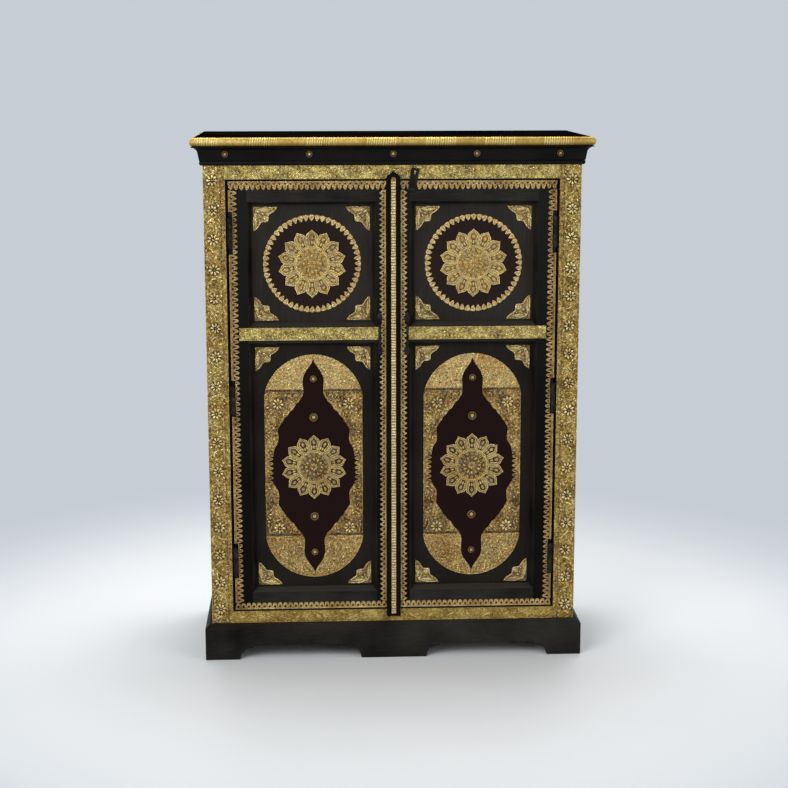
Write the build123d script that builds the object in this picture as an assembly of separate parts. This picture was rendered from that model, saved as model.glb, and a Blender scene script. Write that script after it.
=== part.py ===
from build123d import *
from math import cos, pi, radians, sin
import os

# A two-door cabinet in black-painted hardwood with embossed brass sheet work, in millimetres.
# +X is to the right, +Y to the back and +Z up, with the origin on the floor under the middle of
# the whole cabinet. The doors stand in the front face and open towards -Y.

# ---- overall sizes -------------------------------------------------------------------------------
overall_width = 1000.0      # over the brass nosing of the top
overall_depth = 430.0       # front of the nosing to the back boards
overall_height = 1340.0     # floor to the top's upper face
overrun = 1.0               # how far a cutting shape passes the faces it cuts

# ---- carcass -------------------------------------------------------------------------------------
cornice_reach = 30.0        # nosing beyond the body's faces, front and sides
cornice_height = 46.0
cornice_bead = 10.5         # height of the half round at the cornice's foot
cornice_bead_reach = 7.6
cornice_quirk = 1.5         # narrow groove above the half round
cornice_lip = 3.5           # cornice's upper edge behind the nosing
cornice_cove_height = 15.3  # cove between the studs' seat and the lip
cornice_cove_corner = (4.5, 6.0)  # where the cove turns: out from the seat, down from the top
cornice_lip_height = 1.5
cornice_stud_rise = 28.0    # above the cornice's foot
cornice_stud_seat = 11.0    # flat of a stud's seat in front of the body
top_thickness = 23.0
plinth_reach = 18.0         # plinth beyond the body's faces
plinth_height = 94.0
plinth_board = 30.0
plinth_chamfer = 11.0
foot_gap_height = 37.0
corner_foot_width = 87.0
centre_foot_width = 166.0
foot_curve = 26.0           # radius of the rounded corner of each foot gap
foot_quirk = 7.0            # small step between the curve and the flat of the gap
foot_draw = 3.0             # lean of a foot's edge
front_stile_width = 58.0
front_stile_depth = 38.0
rear_stile_size = 38.0
side_rail_height = 90.0
side_rail_thickness = 24.0
side_panel_thickness = 10.0
side_panel_setback = 6.0    # panel's outer face behind the stiles' outer faces
tongue = 8.0                # how far a panel enters its grooves
groove_play = 1.0           # room left at the bottom of a groove
front_rail_thickness = 34.0
top_rail_reveal = 36.0      # front top rail below the cornice
bottom_rail_height = 33.0
floor_thickness = 18.0
back_thickness = 10.0
back_board_count = 5
back_board_gap = 0.5
shelf_count = 3
shelf_thickness = 18.0
shelf_side_play = 0.3
cleat_width = 12.0
cleat_height = 22.0
stop_depth = 16.0           # door stops, front to back
stop_lap = 13.0             # how far a stop stands into the door opening
stop_backing = 26.0         # how far the upper stop stands up the rail
shelf_front_play = 2.0

# ---- doors ---------------------------------------------------------------------------------------
door_gap = 3.0              # round each door
meeting_gap = 2.5           # between the two doors
door_thickness = 33.4
hinge_stile_width = 45.0
meeting_reveal = 42.0       # cabinet's centre line to the panel openings
door_top_rail_height = 49.0
door_bottom_rail_height = 44.0
middle_rail_height = 37.0
middle_rail_rise = 717.5    # door's bottom edge to the middle rail's centre
panel_recess = 22.0         # panel's face behind the door's face
panel_thickness = 9.0
moulding_width = 10.0
moulding_fillet = 1.5
tenon_length = 14.0
tenon_thickness = 9.0
tenon_shoulder = 6.0        # rail height left above and below a tenon

# ---- centre batten -------------------------------------------------------------------------------
batten_width = 35.0
batten_thickness = 12.0
batten_point = 15.0         # height of the pointed top
batten_above = 25.0         # beyond the door's top edge
batten_below = 21.0         # beyond the door's bottom edge
batten_relief = 1.6         # back of its ends, which pass the rails' brass
batten_strip_width = 13.0
batten_strip_thickness = 3.0
batten_strip_end = 7.0      # wood left beyond the strip's lower end

# ---- brass work ----------------------------------------------------------------------------------
sheet = 0.8                 # brass sheet on the frame
relief = 1.2                # cut and embossed pieces on the panels
bare_edge = 4.0             # wood left bare beside the door opening
bare_rail_edge = 2.0
middle_rail_bare = 5.0      # and below the middle rail's brass
edging_width = 22.0         # toothed edging along the doors' outer edges
bottom_edging_width = 18.0
edging_band = 0.5           # its straight part, as a share of its width
edging_shoulder = 0.78      # where a tooth starts to narrow
tooth_pitch = 13.3
tooth_slack = 0.07          # half gap between two teeth, as a share of the pitch
meeting_edging_reach = 35.0  # cabinet's centre line to the meeting edging's points
edging_play = 0.5
bracket_size = 60.0
bracket_inset = 3.0
bracket_leaf = [(1, 0), (0.93, 0.1), (0.78, 0.22), (0.63, 0.32), (0.66, 0.45), (0.6, 0.6)]
ring_radius = 123.5
ring_band = 3.0
ring_tooth = 13.5
ring_shoulder = 0.45        # where a ring's tooth starts to narrow, as a share of its length
ring_tooth_count = 52
rosette_radius = 85.0
rosette_valley = 71.0
rosette_petals = 14
petal_bulge = 3.0
boss_radius = 42.0
boss_height = 5.0
capsule_width = 250.0
capsule_height = 584.0
capsule_straight = 378.0    # length of its straight sides
medallion_height = 560.0    # bare wood between the spandrels, tip to tip
medallion_outline = [(0.13, 0.90), (0.212, 0.80), (0.196, 0.70), (0.235, 0.65), (0.33, 0.59), (0.425, 0.53),
                     (0.55, 0.475), (0.65, 0.415), (0.735, 0.355), (0.72, 0.24), (0.80, 0.185), (0.832, 0.12)]
seam = 0.6                  # between the two halves of the spandrel work
stud_radius = 8.3
large_stud_radius = 10.5
stud_rises = [0.41, -0.404]  # above the panel's middle, as shares of the medallion's height
large_stud_rises = [0.232, -0.234]
stud_height = 3.5
stud_sink = 1.0             # cornice studs' seats set into the cornice
stud_rim = 0.4              # a stud's plain edge, as a share of its height
cornice_stud_pitch = 207.0
cornice_stud_count = 5

# ---- iron work -----------------------------------------------------------------------------------
hinge_length = 76.0
hinge_spread = 423.0        # outer hinges above and below the middle one
barrel_radius = 4.6
barrel_stand_off = 0.5      # barrel in front of the door's face
barrel_inset = 4.5          # its axis inside the door's outer edge
pin_radius = 1.8
pin_play = 0.05             # radial
pin_head_radius = 3.0
pin_head_height = 2.0
leaf_thickness = 1.35
leaf_depth = 28.0
knuckle_count = 5
knuckle_play = 0.3
hinge_cutout_play = 0.5     # edging cut away round a barrel
handle_height = 116.0
handle_grip = 62.0          # length of the bowed part
handle_width = 7.0
handle_reach = 26.0
handle_bar = 5.0
handle_foot = 7.0
handle_plate = 2.5
handle_plate_width = 15.0
handle_swell = 0.45         # widest part of an end plate, as a share of its length
handle_bow = (0.8, 0.6)     # a point of the bow, as shares of its reach and its half length
handle_offset = 34.5        # from the cabinet's centre line
hasp_offset = 47.5          # from the cabinet's centre line
hasp_drop = 12.0            # hasp's pin below the door's top edge
hasp_lean = 10.0            # degrees
hasp_width = 20.0
hasp_length = 44.0
hasp_thickness = 2.5
hasp_knuckle_radius = 3.8
hasp_knuckle_width = 10.0
hasp_pin_radius = 1.5
hasp_play = 0.4
hasp_shoulder = 1.2         # strap's full width starts this far above its knuckle
hasp_ear_inset = 1.0        # ears' outer faces inside the strap's edges
hasp_stand_off = 7.0        # hasp's pin in front of the door's face
hasp_plate_thickness = 3.4
hasp_plate_drop = 14.0
hasp_slot_width = 6.4
hasp_slot_length = 12.5
hasp_slot_play = 2.3        # slot's end above the peg
peg_level = 36.0            # peg above the hasp's pin, along the hasp
peg_radius = 2.2
peg_reach = 13.0
peg_depth = 15.0

# ---- places worked out from the sizes ------------------------------------------------------------
half_body = overall_width / 2 - cornice_reach
face_y = -overall_depth / 2 + cornice_reach
back_y = overall_depth / 2
body_top = overall_height - top_thickness
cornice_bottom = body_top - cornice_height
stile_inner = half_body - front_stile_width
opening_top = cornice_bottom - top_rail_reveal
opening_bottom = plinth_height + bottom_rail_height
door_top = opening_top - door_gap
door_bottom = opening_bottom + door_gap
door_outer = stile_inner - door_gap
right_meeting_edge = -batten_width / 2
left_meeting_edge = batten_width / 2 + meeting_gap
panel_outer = door_outer - hinge_stile_width
panel_centre = (panel_outer + meeting_reveal) / 2
middle_level = door_bottom + middle_rail_rise
upper_opening = (middle_level + middle_rail_height / 2, door_top - door_top_rail_height)
lower_opening = (door_bottom + door_bottom_rail_height, middle_level - middle_rail_height / 2)
panel_y = face_y + panel_recess
door_back = face_y + door_thickness
inner_face = face_y + front_rail_thickness
inner_back = back_y - back_thickness
rear_inner = half_body - rear_stile_size
panel_outer_x = half_body - side_panel_setback
panel_inner_x = panel_outer_x - side_panel_thickness
brass_inner = stile_inner + bare_edge
barrel_x = door_outer - barrel_inset
barrel_y = face_y - barrel_radius - barrel_stand_off
hasp_z = door_top - hasp_drop
hasp_y = face_y - hasp_stand_off


# ---- helpers -------------------------------------------------------------------------------------
def block(x0, x1, y0, y1, z0, z1):
    """A board given by its six faces."""
    return Pos((x0 + x1) / 2, (y0 + y1) / 2, (z0 + z1) / 2) * Box(x1 - x0, y1 - y0, z1 - z0)


def other_side(shape):
    """The same piece on the cabinet's other side."""
    return mirror(shape, about=Plane.YZ)


def pair(shape):
    return solids(shape, other_side(shape))


def solids(*shapes):
    """Several pieces kept as separate solids in one node."""
    return Compound(children=[s for shape in shapes for s in shape.solids()])


def chain(*runs):
    """A closed face from straight runs (two points) and arcs (three points)."""
    edges = [Edge.make_line(*run) if len(run) == 2 else Edge.make_three_point_arc(*run) for run in runs]
    return make_face(Wire(edges))


def front_plate(face, back, thickness):
    """A flat piece parallel to the cabinet's face, from a face drawn in X and Z."""
    plane = Plane(origin=(0, back, 0), x_dir=(1, 0, 0), z_dir=(0, -1, 0))
    return extrude(plane * face, amount=thickness, dir=(0, -1, 0))


def polygon_plate(points, back, thickness):
    return front_plate(make_face(Polyline(*points, close=True)), back, thickness)


def polar(radius, angle):
    return (radius * cos(radians(angle)), radius * sin(radians(angle)))


def stud(x, y, z, radius, height):
    """A domed nail head whose seat faces -Y."""
    rim = height * stud_rim
    sphere_radius = (radius ** 2 + (height - rim) ** 2) / (2 * (height - rim))
    dome = Pos(0, 0, height - sphere_radius) * Sphere(sphere_radius)
    head = Pos(0, 0, height / 2) * Cylinder(radius, height) & dome
    return Pos(x, y, z) * Rot(90, 0, 0) * head


# ---- mitred runs round the front and sides -------------------------------------------------------
def run_on_front(section):
    """A section (outward, up) carried along the body's front and mitred at both corners."""
    start = Plane(origin=(overall_width, face_y, 0), x_dir=(0, -1, 0), z_dir=(-1, 0, 0))
    run = extrude(start * section, amount=2 * overall_width, dir=(-1, 0, 0))
    for side in (1, -1):
        mitre = Plane(origin=(side * half_body, face_y, 0), z_dir=(-side, -1, 0))
        run = split(run, bisect_by=mitre, keep=Keep.TOP)
    return run


def run_on_side(section):
    """The same section along the body's right side, from the mitre to the back."""
    start = Plane(origin=(half_body, back_y, 0), x_dir=(1, 0, 0), z_dir=(0, -1, 0))
    run = extrude(start * section, amount=2 * overall_depth, dir=(0, -1, 0))
    mitre = Plane(origin=(half_body, face_y, 0), z_dir=(1, 1, 0))
    return split(run, bisect_by=mitre, keep=Keep.TOP)


def cornice_section():
    """Half round, groove, fascia and cove, planted on the body under the top."""
    lip = cornice_reach - cornice_lip
    bead_top = cornice_bottom + cornice_bead
    groove = cornice_bead_reach - cornice_quirk
    fascia_foot = bead_top + cornice_quirk
    cove_foot = body_top - cornice_cove_height
    corner_out, corner_down = cornice_cove_corner
    lip_foot = body_top - cornice_lip_height
    return chain(
        ((0, cornice_bottom), (groove / 2, cornice_bottom)),
        ((groove / 2, cornice_bottom), (cornice_bead_reach, cornice_bottom + cornice_bead / 2),
         (groove, bead_top)),
        ((groove, bead_top), (cornice_bead_reach, fascia_foot)),
        ((cornice_bead_reach, fascia_foot), (cornice_stud_seat, cove_foot)),
        ((cornice_stud_seat, cove_foot), (cornice_stud_seat + corner_out, body_top - corner_down),
         (lip, lip_foot)),
        ((lip, lip_foot), (lip, body_top)),
        ((lip, body_top), (0, body_top)),
        ((0, body_top), (0, cornice_bottom)),
    )


def nosing_section(radius, inner_radius=0.0):
    """A half round on the top's edge, solid for the wood or a shell for the brass."""
    centre_out = cornice_reach - top_thickness / 2
    centre_up = body_top + top_thickness / 2

    def at(r, angle):
        out, up = polar(r, angle)
        return (centre_out + out, centre_up + up)

    outer = (at(radius, -90), at(radius, 0), at(radius, 90))
    if not inner_radius:
        return chain(outer, (outer[2], outer[0]))
    inner = (at(inner_radius, 90), at(inner_radius, 0), at(inner_radius, -90))
    return chain(outer, (outer[2], inner[0]), inner, (inner[2], outer[0]))


def plinth_section():
    """Plinth board with its chamfered top edge."""
    inner = plinth_reach - plinth_board
    chamfer_foot = plinth_height - plinth_chamfer
    return make_face(Polyline((inner, 0), (plinth_reach, 0), (plinth_reach, chamfer_foot),
                              (plinth_reach - plinth_chamfer, plinth_height), (inner, plinth_height),
                              close=True))


def foot_gap(start, end):
    """The space between two bracket feet, drawn along a plinth board and up."""
    rise = foot_gap_height - foot_quirk
    curve = min(foot_curve, rise - 1)
    corner = curve * (1 - sin(pi / 4))
    left, right = start + foot_draw, end - foot_draw
    half = [(start, 0), (left, rise - curve), (left + corner, rise - corner), (left + curve, rise),
            (left + curve + foot_quirk, rise), (left + curve + foot_quirk, foot_gap_height)]
    mirrored = [(start + end - x, z) for x, z in half]
    below = -overrun
    return chain(
        ((start, below), half[0]), (half[0], half[1]), (half[1], half[2], half[3]),
        (half[3], half[4]), (half[4], half[5]), (half[5], mirrored[5]), (mirrored[5], mirrored[4]),
        (mirrored[4], mirrored[3]), (mirrored[3], mirrored[2], mirrored[1]),
        (mirrored[1], mirrored[0]), (mirrored[0], (end, below)), ((end, below), (start, below)),
    )


def gap_through_front(start, end, y0, y1):
    plane = Plane(origin=(0, y1, 0), x_dir=(1, 0, 0), z_dir=(0, -1, 0))
    return extrude(plane * foot_gap(start, end), amount=y1 - y0, dir=(0, -1, 0))


def gap_through_side(start, end):
    plane = Plane(origin=(0, 0, 0), x_dir=(0, 1, 0), z_dir=(1, 0, 0))
    return extrude(plane * foot_gap(start, end), amount=overall_width, dir=(1, 0, 0))


# ---- carcass -------------------------------------------------------------------------------------
def plinth():
    """Mitred plinth with bracket feet, and a plain board across the back."""
    section = plinth_section()
    outer = half_body + plinth_reach
    inner = outer - plinth_board
    front_y, rear_y = face_y - plinth_reach, back_y - plinth_board
    front_gap = gap_through_front(centre_foot_width / 2, outer - corner_foot_width,
                                  front_y - overrun, front_y + plinth_board + overrun)
    front = run_on_front(section) - front_gap - other_side(front_gap)
    side = run_on_side(section) - gap_through_side(front_y + corner_foot_width, back_y - corner_foot_width)
    rear = block(-inner, inner, rear_y, back_y, 0, plinth_height)
    rear -= gap_through_front(-outer + corner_foot_width, outer - corner_foot_width,
                              rear_y - overrun, back_y + overrun)
    return {"plinth_front": front, "plinth_sides": pair(side), "plinth_rear": rear}


def side_board(reach):
    """The side panel's board, entering its frame all round by reach."""
    return block(panel_inner_x, panel_outer_x,
                 face_y + front_stile_depth - reach, back_y - rear_stile_size + reach,
                 plinth_height + side_rail_height - reach, body_top - side_rail_height + reach)


def with_tenons(rail, x0, x1, y0, thickness, z0, z1):
    """A rail with a tenon at each end, in the middle of its thickness."""
    front = y0 + (thickness - tenon_thickness) / 2
    return rail + block(x0 - tenon_length, x1 + tenon_length, front, front + tenon_thickness,
                        z0 + tenon_shoulder, z1 - tenon_shoulder)


def body_rail(z0, z1):
    rail = block(-stile_inner, stile_inner, face_y, inner_face, z0, z1)
    return with_tenons(rail, -stile_inner, stile_inner, face_y, front_rail_thickness, z0, z1)


def back_boards():
    """Upright boards let into the rear stiles."""
    reach = rear_inner + tongue
    width = 2 * reach / back_board_count
    boards = []
    for i in range(back_board_count):
        left = -reach + i * width
        gap = back_board_gap if i else 0
        boards.append(block(left + gap, left + width, inner_back, back_y, plinth_height, body_top))
    return solids(*boards)


def shelf_levels():
    """Top face of each shelf, with equal spaces between."""
    clear = (body_top - opening_bottom - shelf_count * shelf_thickness) / (shelf_count + 1)
    return [opening_bottom + (i + 1) * (clear + shelf_thickness) for i in range(shelf_count)]


def shelving(stiles):
    """Shelves notched round the stiles, each on a cleat at either side."""
    front = inner_face + stop_depth + shelf_front_play
    reach = panel_inner_x - shelf_side_play
    shelves, cleats = [], []
    for level in shelf_levels():
        under = level - shelf_thickness
        shelves.append(block(-reach, reach, front, inner_back, under, level) - stiles)
        cleat = block(panel_inner_x - cleat_width, panel_inner_x, face_y + front_stile_depth,
                      back_y - rear_stile_size, under - cleat_height, under)
        cleats += [cleat, other_side(cleat)]
    return {"shelves": solids(*shelves), "shelf_cleats": solids(*cleats)}


def carcass():
    """The body's frame, panels, floor, back, shelves and door stops."""
    groove = side_board(tongue + groove_play)
    top_rail = body_rail(opening_top, body_top)
    bottom_rail = body_rail(plinth_height, opening_bottom)
    front_stile = block(stile_inner, half_body, face_y, face_y + front_stile_depth, plinth_height, body_top)
    front_stile = front_stile - groove - top_rail - bottom_rail
    rear_stile = block(rear_inner, half_body, back_y - rear_stile_size, back_y, plinth_height, body_top)
    rear_stile -= groove
    rear_stile -= block(rear_inner, rear_inner + tongue, inner_back, back_y, plinth_height, body_top)
    side = half_body - side_rail_thickness
    rails = [block(side, half_body, face_y + front_stile_depth, back_y - rear_stile_size,
                   z0, z0 + side_rail_height) - groove
             for z0 in (plinth_height, body_top - side_rail_height)]
    stiles = solids(front_stile, other_side(front_stile), rear_stile, other_side(rear_stile))
    floor = block(-side, side, inner_face, inner_back, opening_bottom - floor_thickness, opening_bottom)
    stops = [block(-stile_inner, stile_inner, inner_face, inner_face + stop_depth, z0, z1)
             for z0, z1 in ((opening_top - stop_lap, opening_top + stop_backing),
                            (opening_bottom, opening_bottom + stop_lap))]
    panel = side_board(tongue)
    nodes = {
        "front_stile_left": other_side(front_stile), "front_stile_right": front_stile,
        "rear_stiles": pair(rear_stile),
        "side_rails": solids(*[pair(rail) for rail in rails]),
        "side_panel_left": other_side(panel), "side_panel_right": panel,
        "front_top_rail": top_rail - peg(), "front_bottom_rail": bottom_rail,
        "floor_board": floor - stiles, "back_boards": back_boards(), "door_stops": solids(*stops),
    }
    return nodes | shelving(stiles)


def top_and_cornice():
    """Top board with its half-round nosing, the cornice under it and the brass on both."""
    wood_radius = top_thickness / 2 - sheet
    slab_edge = half_body + cornice_reach - top_thickness / 2
    front_edge = face_y - cornice_reach + top_thickness / 2
    side_nosing = run_on_side(nosing_section(wood_radius))
    top = block(-slab_edge, slab_edge, front_edge, back_y, body_top, overall_height)
    top = top + run_on_front(nosing_section(wood_radius)) + side_nosing + other_side(side_nosing)
    shell = nosing_section(top_thickness / 2, wood_radius)
    front = run_on_front(cornice_section())
    seat = face_y - cornice_stud_seat + stud_sink
    middle = (cornice_stud_count - 1) / 2
    studs = [stud((i - middle) * cornice_stud_pitch, seat, cornice_bottom + cornice_stud_rise,
                  stud_radius, stud_height + stud_sink) - front for i in range(cornice_stud_count)]
    return {
        "top_board": top,
        "nosing_brass": solids(run_on_front(shell), pair(run_on_side(shell))),
        "cornice_front": front, "cornice_sides": pair(run_on_side(cornice_section())),
        "cornice_studs": solids(*studs),
    }


def body_brass():
    """Embossed sheets on the body's stiles and rails."""
    front = face_y - sheet
    stile = block(brass_inner, half_body, front, face_y, plinth_height, cornice_bottom)
    top = block(-brass_inner, brass_inner, front, face_y, opening_top + bare_rail_edge, cornice_bottom)
    bottom = block(-brass_inner, brass_inner, front, face_y, plinth_height, opening_bottom - bare_rail_edge)
    return {"stile_brass": pair(stile), "rail_brass": solids(top - peg(), bottom)}


# ---- hinges --------------------------------------------------------------------------------------
def hinge_levels():
    middle = (door_top + door_bottom) / 2
    return [middle - hinge_spread, middle, middle + hinge_spread]


def hinge_half(level, on_door):
    """One leaf with its knuckles: even knuckles on the body's leaf, odd ones on the door's."""
    pitch = hinge_length / knuckle_count
    low = level - hinge_length / 2
    if on_door:
        x0, x1 = door_outer, door_outer + leaf_thickness
    else:
        x0, x1 = stile_inner - leaf_thickness, stile_inner
    half = block(x0, x1, face_y, face_y + leaf_depth, low, low + hinge_length)
    for i in range(1 if on_door else 0, knuckle_count, 2):
        z0 = low + i * pitch + knuckle_play / 2
        z1 = low + (i + 1) * pitch - knuckle_play / 2
        wrap = barrel_y + barrel_radius - leaf_thickness
        half += block(x0, x1, wrap, face_y, z0, z1)
        half += block(barrel_x, x1, wrap, wrap + leaf_thickness, z0, z1)
        half += Pos(barrel_x, barrel_y, (z0 + z1) / 2) * Cylinder(barrel_radius, z1 - z0)
    return half - Pos(barrel_x, barrel_y, level) * Cylinder(pin_radius + pin_play, hinge_length + 2)


def hinge_pin(level):
    pin = Pos(barrel_x, barrel_y, level) * Cylinder(pin_radius, hinge_length)
    for side in (1, -1):
        head_z = level + side * (hinge_length + pin_head_height) / 2
        pin += Pos(barrel_x, barrel_y, head_z) * Cylinder(pin_head_radius, pin_head_height)
    return pin


def hinges():
    levels = hinge_levels()
    door_leaves = [hinge_half(level, True) for level in levels]
    return {
        "hinge_body_leaves": solids(*[pair(hinge_half(level, False)) for level in levels]),
        "hinge_pins": solids(*[pair(hinge_pin(level)) for level in levels]),
        "left_hinge_leaves": solids(*[other_side(leaf) for leaf in door_leaves]),
        "right_hinge_leaves": solids(*door_leaves),
    }


# ---- doors ---------------------------------------------------------------------------------------
def door_rail(z0, z1):
    rail = block(meeting_reveal, panel_outer, face_y, door_back, z0, z1)
    return with_tenons(rail, meeting_reveal, panel_outer, face_y, door_thickness, z0, z1)


def panel_board(opening, reach):
    """A flat panel that enters the door's frame all round by reach."""
    z0, z1 = opening
    return block(meeting_reveal - reach, panel_outer + reach,
                 panel_y, panel_y + panel_thickness, z0 - reach, z1 + reach)


def moulding_stick(run):
    """One bevelled stick along X on the line z = 0, mitred at both ends."""
    bevel = [(0, 0), (moulding_fillet, 0), (moulding_width, panel_recess - moulding_fillet),
             (moulding_width, panel_recess), (0, panel_recess)]
    plane = Plane(origin=(-run / 2, face_y, 0), x_dir=(0, 0, 1), z_dir=(1, 0, 0))
    section = make_face(Polyline(*[(up, -depth) for up, depth in bevel], close=True))
    stick = extrude(plane * section, amount=run, dir=(1, 0, 0))
    for end in (1, -1):
        mitre = Plane(origin=(end * run / 2, 0, 0), z_dir=(-end, 0, -1))
        stick = split(stick, bisect_by=mitre, keep=Keep.TOP)
    return stick


def panel_mouldings(opening):
    """Four mitred bevels between the door's face and the panel."""
    z0, z1 = opening
    wide, tall = panel_outer - meeting_reveal, z1 - z0
    place = Pos(panel_centre, 0, (z0 + z1) / 2)
    return [place * Rot(0, turn, 0) * Pos(0, 0, -across / 2) * moulding_stick(run)
            for turn, run, across in ((0, wide, tall), (90, tall, wide), (180, wide, tall), (270, tall, wide))]


def toothed_outline(length, width):
    """A toothed edging from (0, 0) along +X, with its teeth pointing up."""
    count = max(1, round(length / tooth_pitch))
    pitch = length / count
    root, shoulder = width * edging_band, width * edging_shoulder
    points = [(0, 0), (length, 0)]
    for i in reversed(range(count)):
        x = i * pitch
        points += [(x + pitch * (1 - tooth_slack), root), (x + pitch * (1 - tooth_slack), shoulder),
                   (x + pitch / 2, width), (x + pitch * tooth_slack, shoulder),
                   (x + pitch * tooth_slack, root)]
    return points


def edging(meeting_edge):
    """Toothed brass round a door's face, cut away beside the hinge barrels."""
    start = max(meeting_edge, batten_width / 2 + edging_play)
    side_low = door_bottom + bottom_edging_width
    side_high = door_top - edging_width
    run = door_outer - start

    def strip(length, width, place):
        return polygon_plate([place(u, v) for u, v in toothed_outline(length, width)], face_y, sheet)

    strips = [
        strip(run, edging_width, lambda u, v: (start + u, door_top - v)),
        strip(run, bottom_edging_width, lambda u, v: (start + u, door_bottom + v)),
        strip(side_high - side_low, meeting_edging_reach - start, lambda u, v: (start + v, side_low + u)),
    ]
    outer = strip(side_high - side_low, edging_width, lambda u, v: (door_outer - v, side_low + u))
    for level in hinge_levels():
        reach = hinge_length / 2 + pin_head_height + hinge_cutout_play
        outer -= block(barrel_x - barrel_radius - hinge_cutout_play, door_outer, face_y - sheet, face_y,
                       level - reach, level + reach)
    return strips + [outer]


def bracket_outline():
    """Corner bracket from its corner at (0, 0): a leaf along each leg and a lobe between."""
    shares = [(0, 0)] + bracket_leaf + [(z, x) for x, z in reversed(bracket_leaf[:-1])]
    return [(x * bracket_size, z * bracket_size) for x, z in shares]


def brackets(opening):
    z0, z1 = opening
    inset = moulding_width + bracket_inset
    pieces = []
    for x, sx in ((meeting_reveal + inset, 1), (panel_outer - inset, -1)):
        for z, sz in ((z0 + inset, 1), (z1 - inset, -1)):
            points = [(x + sx * u, z + sz * v) for u, v in bracket_outline()]
            pieces.append(polygon_plate(points, panel_y, relief))
    return pieces


def rosette(level):
    """Star of pointed petals with a low domed boss."""
    step = 360 / rosette_petals
    bulge = (rosette_radius + rosette_valley) / 2 + petal_bulge
    runs = []
    for i in range(rosette_petals):
        tip = 90 + i * step
        left, right = polar(rosette_valley, tip - step / 2), polar(rosette_valley, tip + step / 2)
        point = polar(rosette_radius, tip)
        runs += [(left, polar(bulge, tip - step / 4), point), (point, polar(bulge, tip + step / 4), right)]
    star = front_plate(chain(*runs), 0, relief) + stud(0, -relief, 0, boss_radius, boss_height)
    return Pos(panel_centre, panel_y, level) * star


def tooth_ring(level):
    """Circle of teeth that point to its centre."""
    step = 360 / ring_tooth_count
    root, shoulder = ring_radius - ring_band, ring_radius - ring_band - ring_tooth * ring_shoulder
    points = []
    for i in range(ring_tooth_count):
        angle = i * step
        points += [polar(root, angle), polar(shoulder, angle + step * tooth_slack),
                   polar(root - ring_tooth, angle + step / 2),
                   polar(shoulder, angle + step * (1 - tooth_slack))]
    inside = polygon_plate(points, overrun, relief + 2 * overrun)
    ring = Rot(90, 0, 0) * Pos(0, 0, relief / 2) * Cylinder(ring_radius, relief) - inside
    return Pos(panel_centre, panel_y, level) * ring


def medallion_edge():
    """Half of the waisted medallion's outline, from its upper tip down to its middle."""
    tip = (seam / 2, medallion_height / 2)
    return [tip] + [(x * capsule_width / 2, z * medallion_height / 2) for x, z in medallion_outline]


def spandrels(level):
    """Two halves of the capsule, cut away round the medallion."""
    half, tall, straight = capsule_width / 2, capsule_height / 2, capsule_straight / 2
    chord = tall - straight
    end_radius = (half ** 2 + chord ** 2) / (2 * chord)
    lean = half / 2
    shoulder = (lean, tall - end_radius + (end_radius ** 2 - lean ** 2) ** 0.5)
    tip = medallion_edge()[0]
    upper = medallion_edge()
    inner = [(x, -z) for x, z in upper] + upper[::-1]
    plate = front_plate(chain(
        (tip, (seam / 2, tall)),
        ((seam / 2, tall), shoulder, (half, straight)),
        ((half, straight), (half, -straight)),
        ((half, -straight), (shoulder[0], -shoulder[1]), (seam / 2, -tall)),
        ((seam / 2, -tall), inner[0]),
        *zip(inner, inner[1:]),
    ), 0, relief)
    place = Pos(panel_centre, panel_y, level)
    return [place * plate, place * other_side(plate)]


def panel_studs(level):
    """Nail heads down the middle of the medallion."""
    return [stud(panel_centre, panel_y, level + share * medallion_height, radius, stud_height)
            for radius, rises in ((stud_radius, stud_rises), (large_stud_radius, large_stud_rises))
            for share in rises]


def handle():
    """Forged pull: a leaf-shaped plate at each end and a bowed grip between."""
    back = face_y - sheet
    half, grip = handle_height / 2, handle_grip / 2
    wide, neck = handle_plate_width / 2, handle_width / 2
    inner_grip, inner_reach = grip - handle_foot, handle_reach - handle_bar
    swell = grip + (half - grip) * handle_swell
    bow_out, bow_up = handle_bow
    leaf = [(-neck, inner_grip), (neck, inner_grip), (neck, grip), (wide, swell), (0, half),
            (-wide, swell), (-neck, grip)]
    bow = chain(
        ((0, grip), (handle_reach * bow_out, grip * bow_up), (handle_reach, 0)),
        ((handle_reach, 0), (handle_reach * bow_out, -grip * bow_up), (0, -grip)),
        ((0, -grip), (0, -inner_grip)),
        ((0, -inner_grip), (inner_reach * bow_out, -inner_grip * bow_up), (inner_reach, 0)),
        ((inner_reach, 0), (inner_reach * bow_out, inner_grip * bow_up), (0, inner_grip)),
        ((0, inner_grip), (0, grip)),
    )
    side = Plane(origin=(-neck, back, 0), x_dir=(0, -1, 0), z_dir=(-1, 0, 0))
    whole = extrude(side * bow, amount=handle_width, dir=(1, 0, 0))
    for end in (1, -1):
        whole += polygon_plate([(x, end * z) for x, z in leaf], back, handle_plate)
    return Pos(handle_offset, 0, middle_level) * whole


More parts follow.
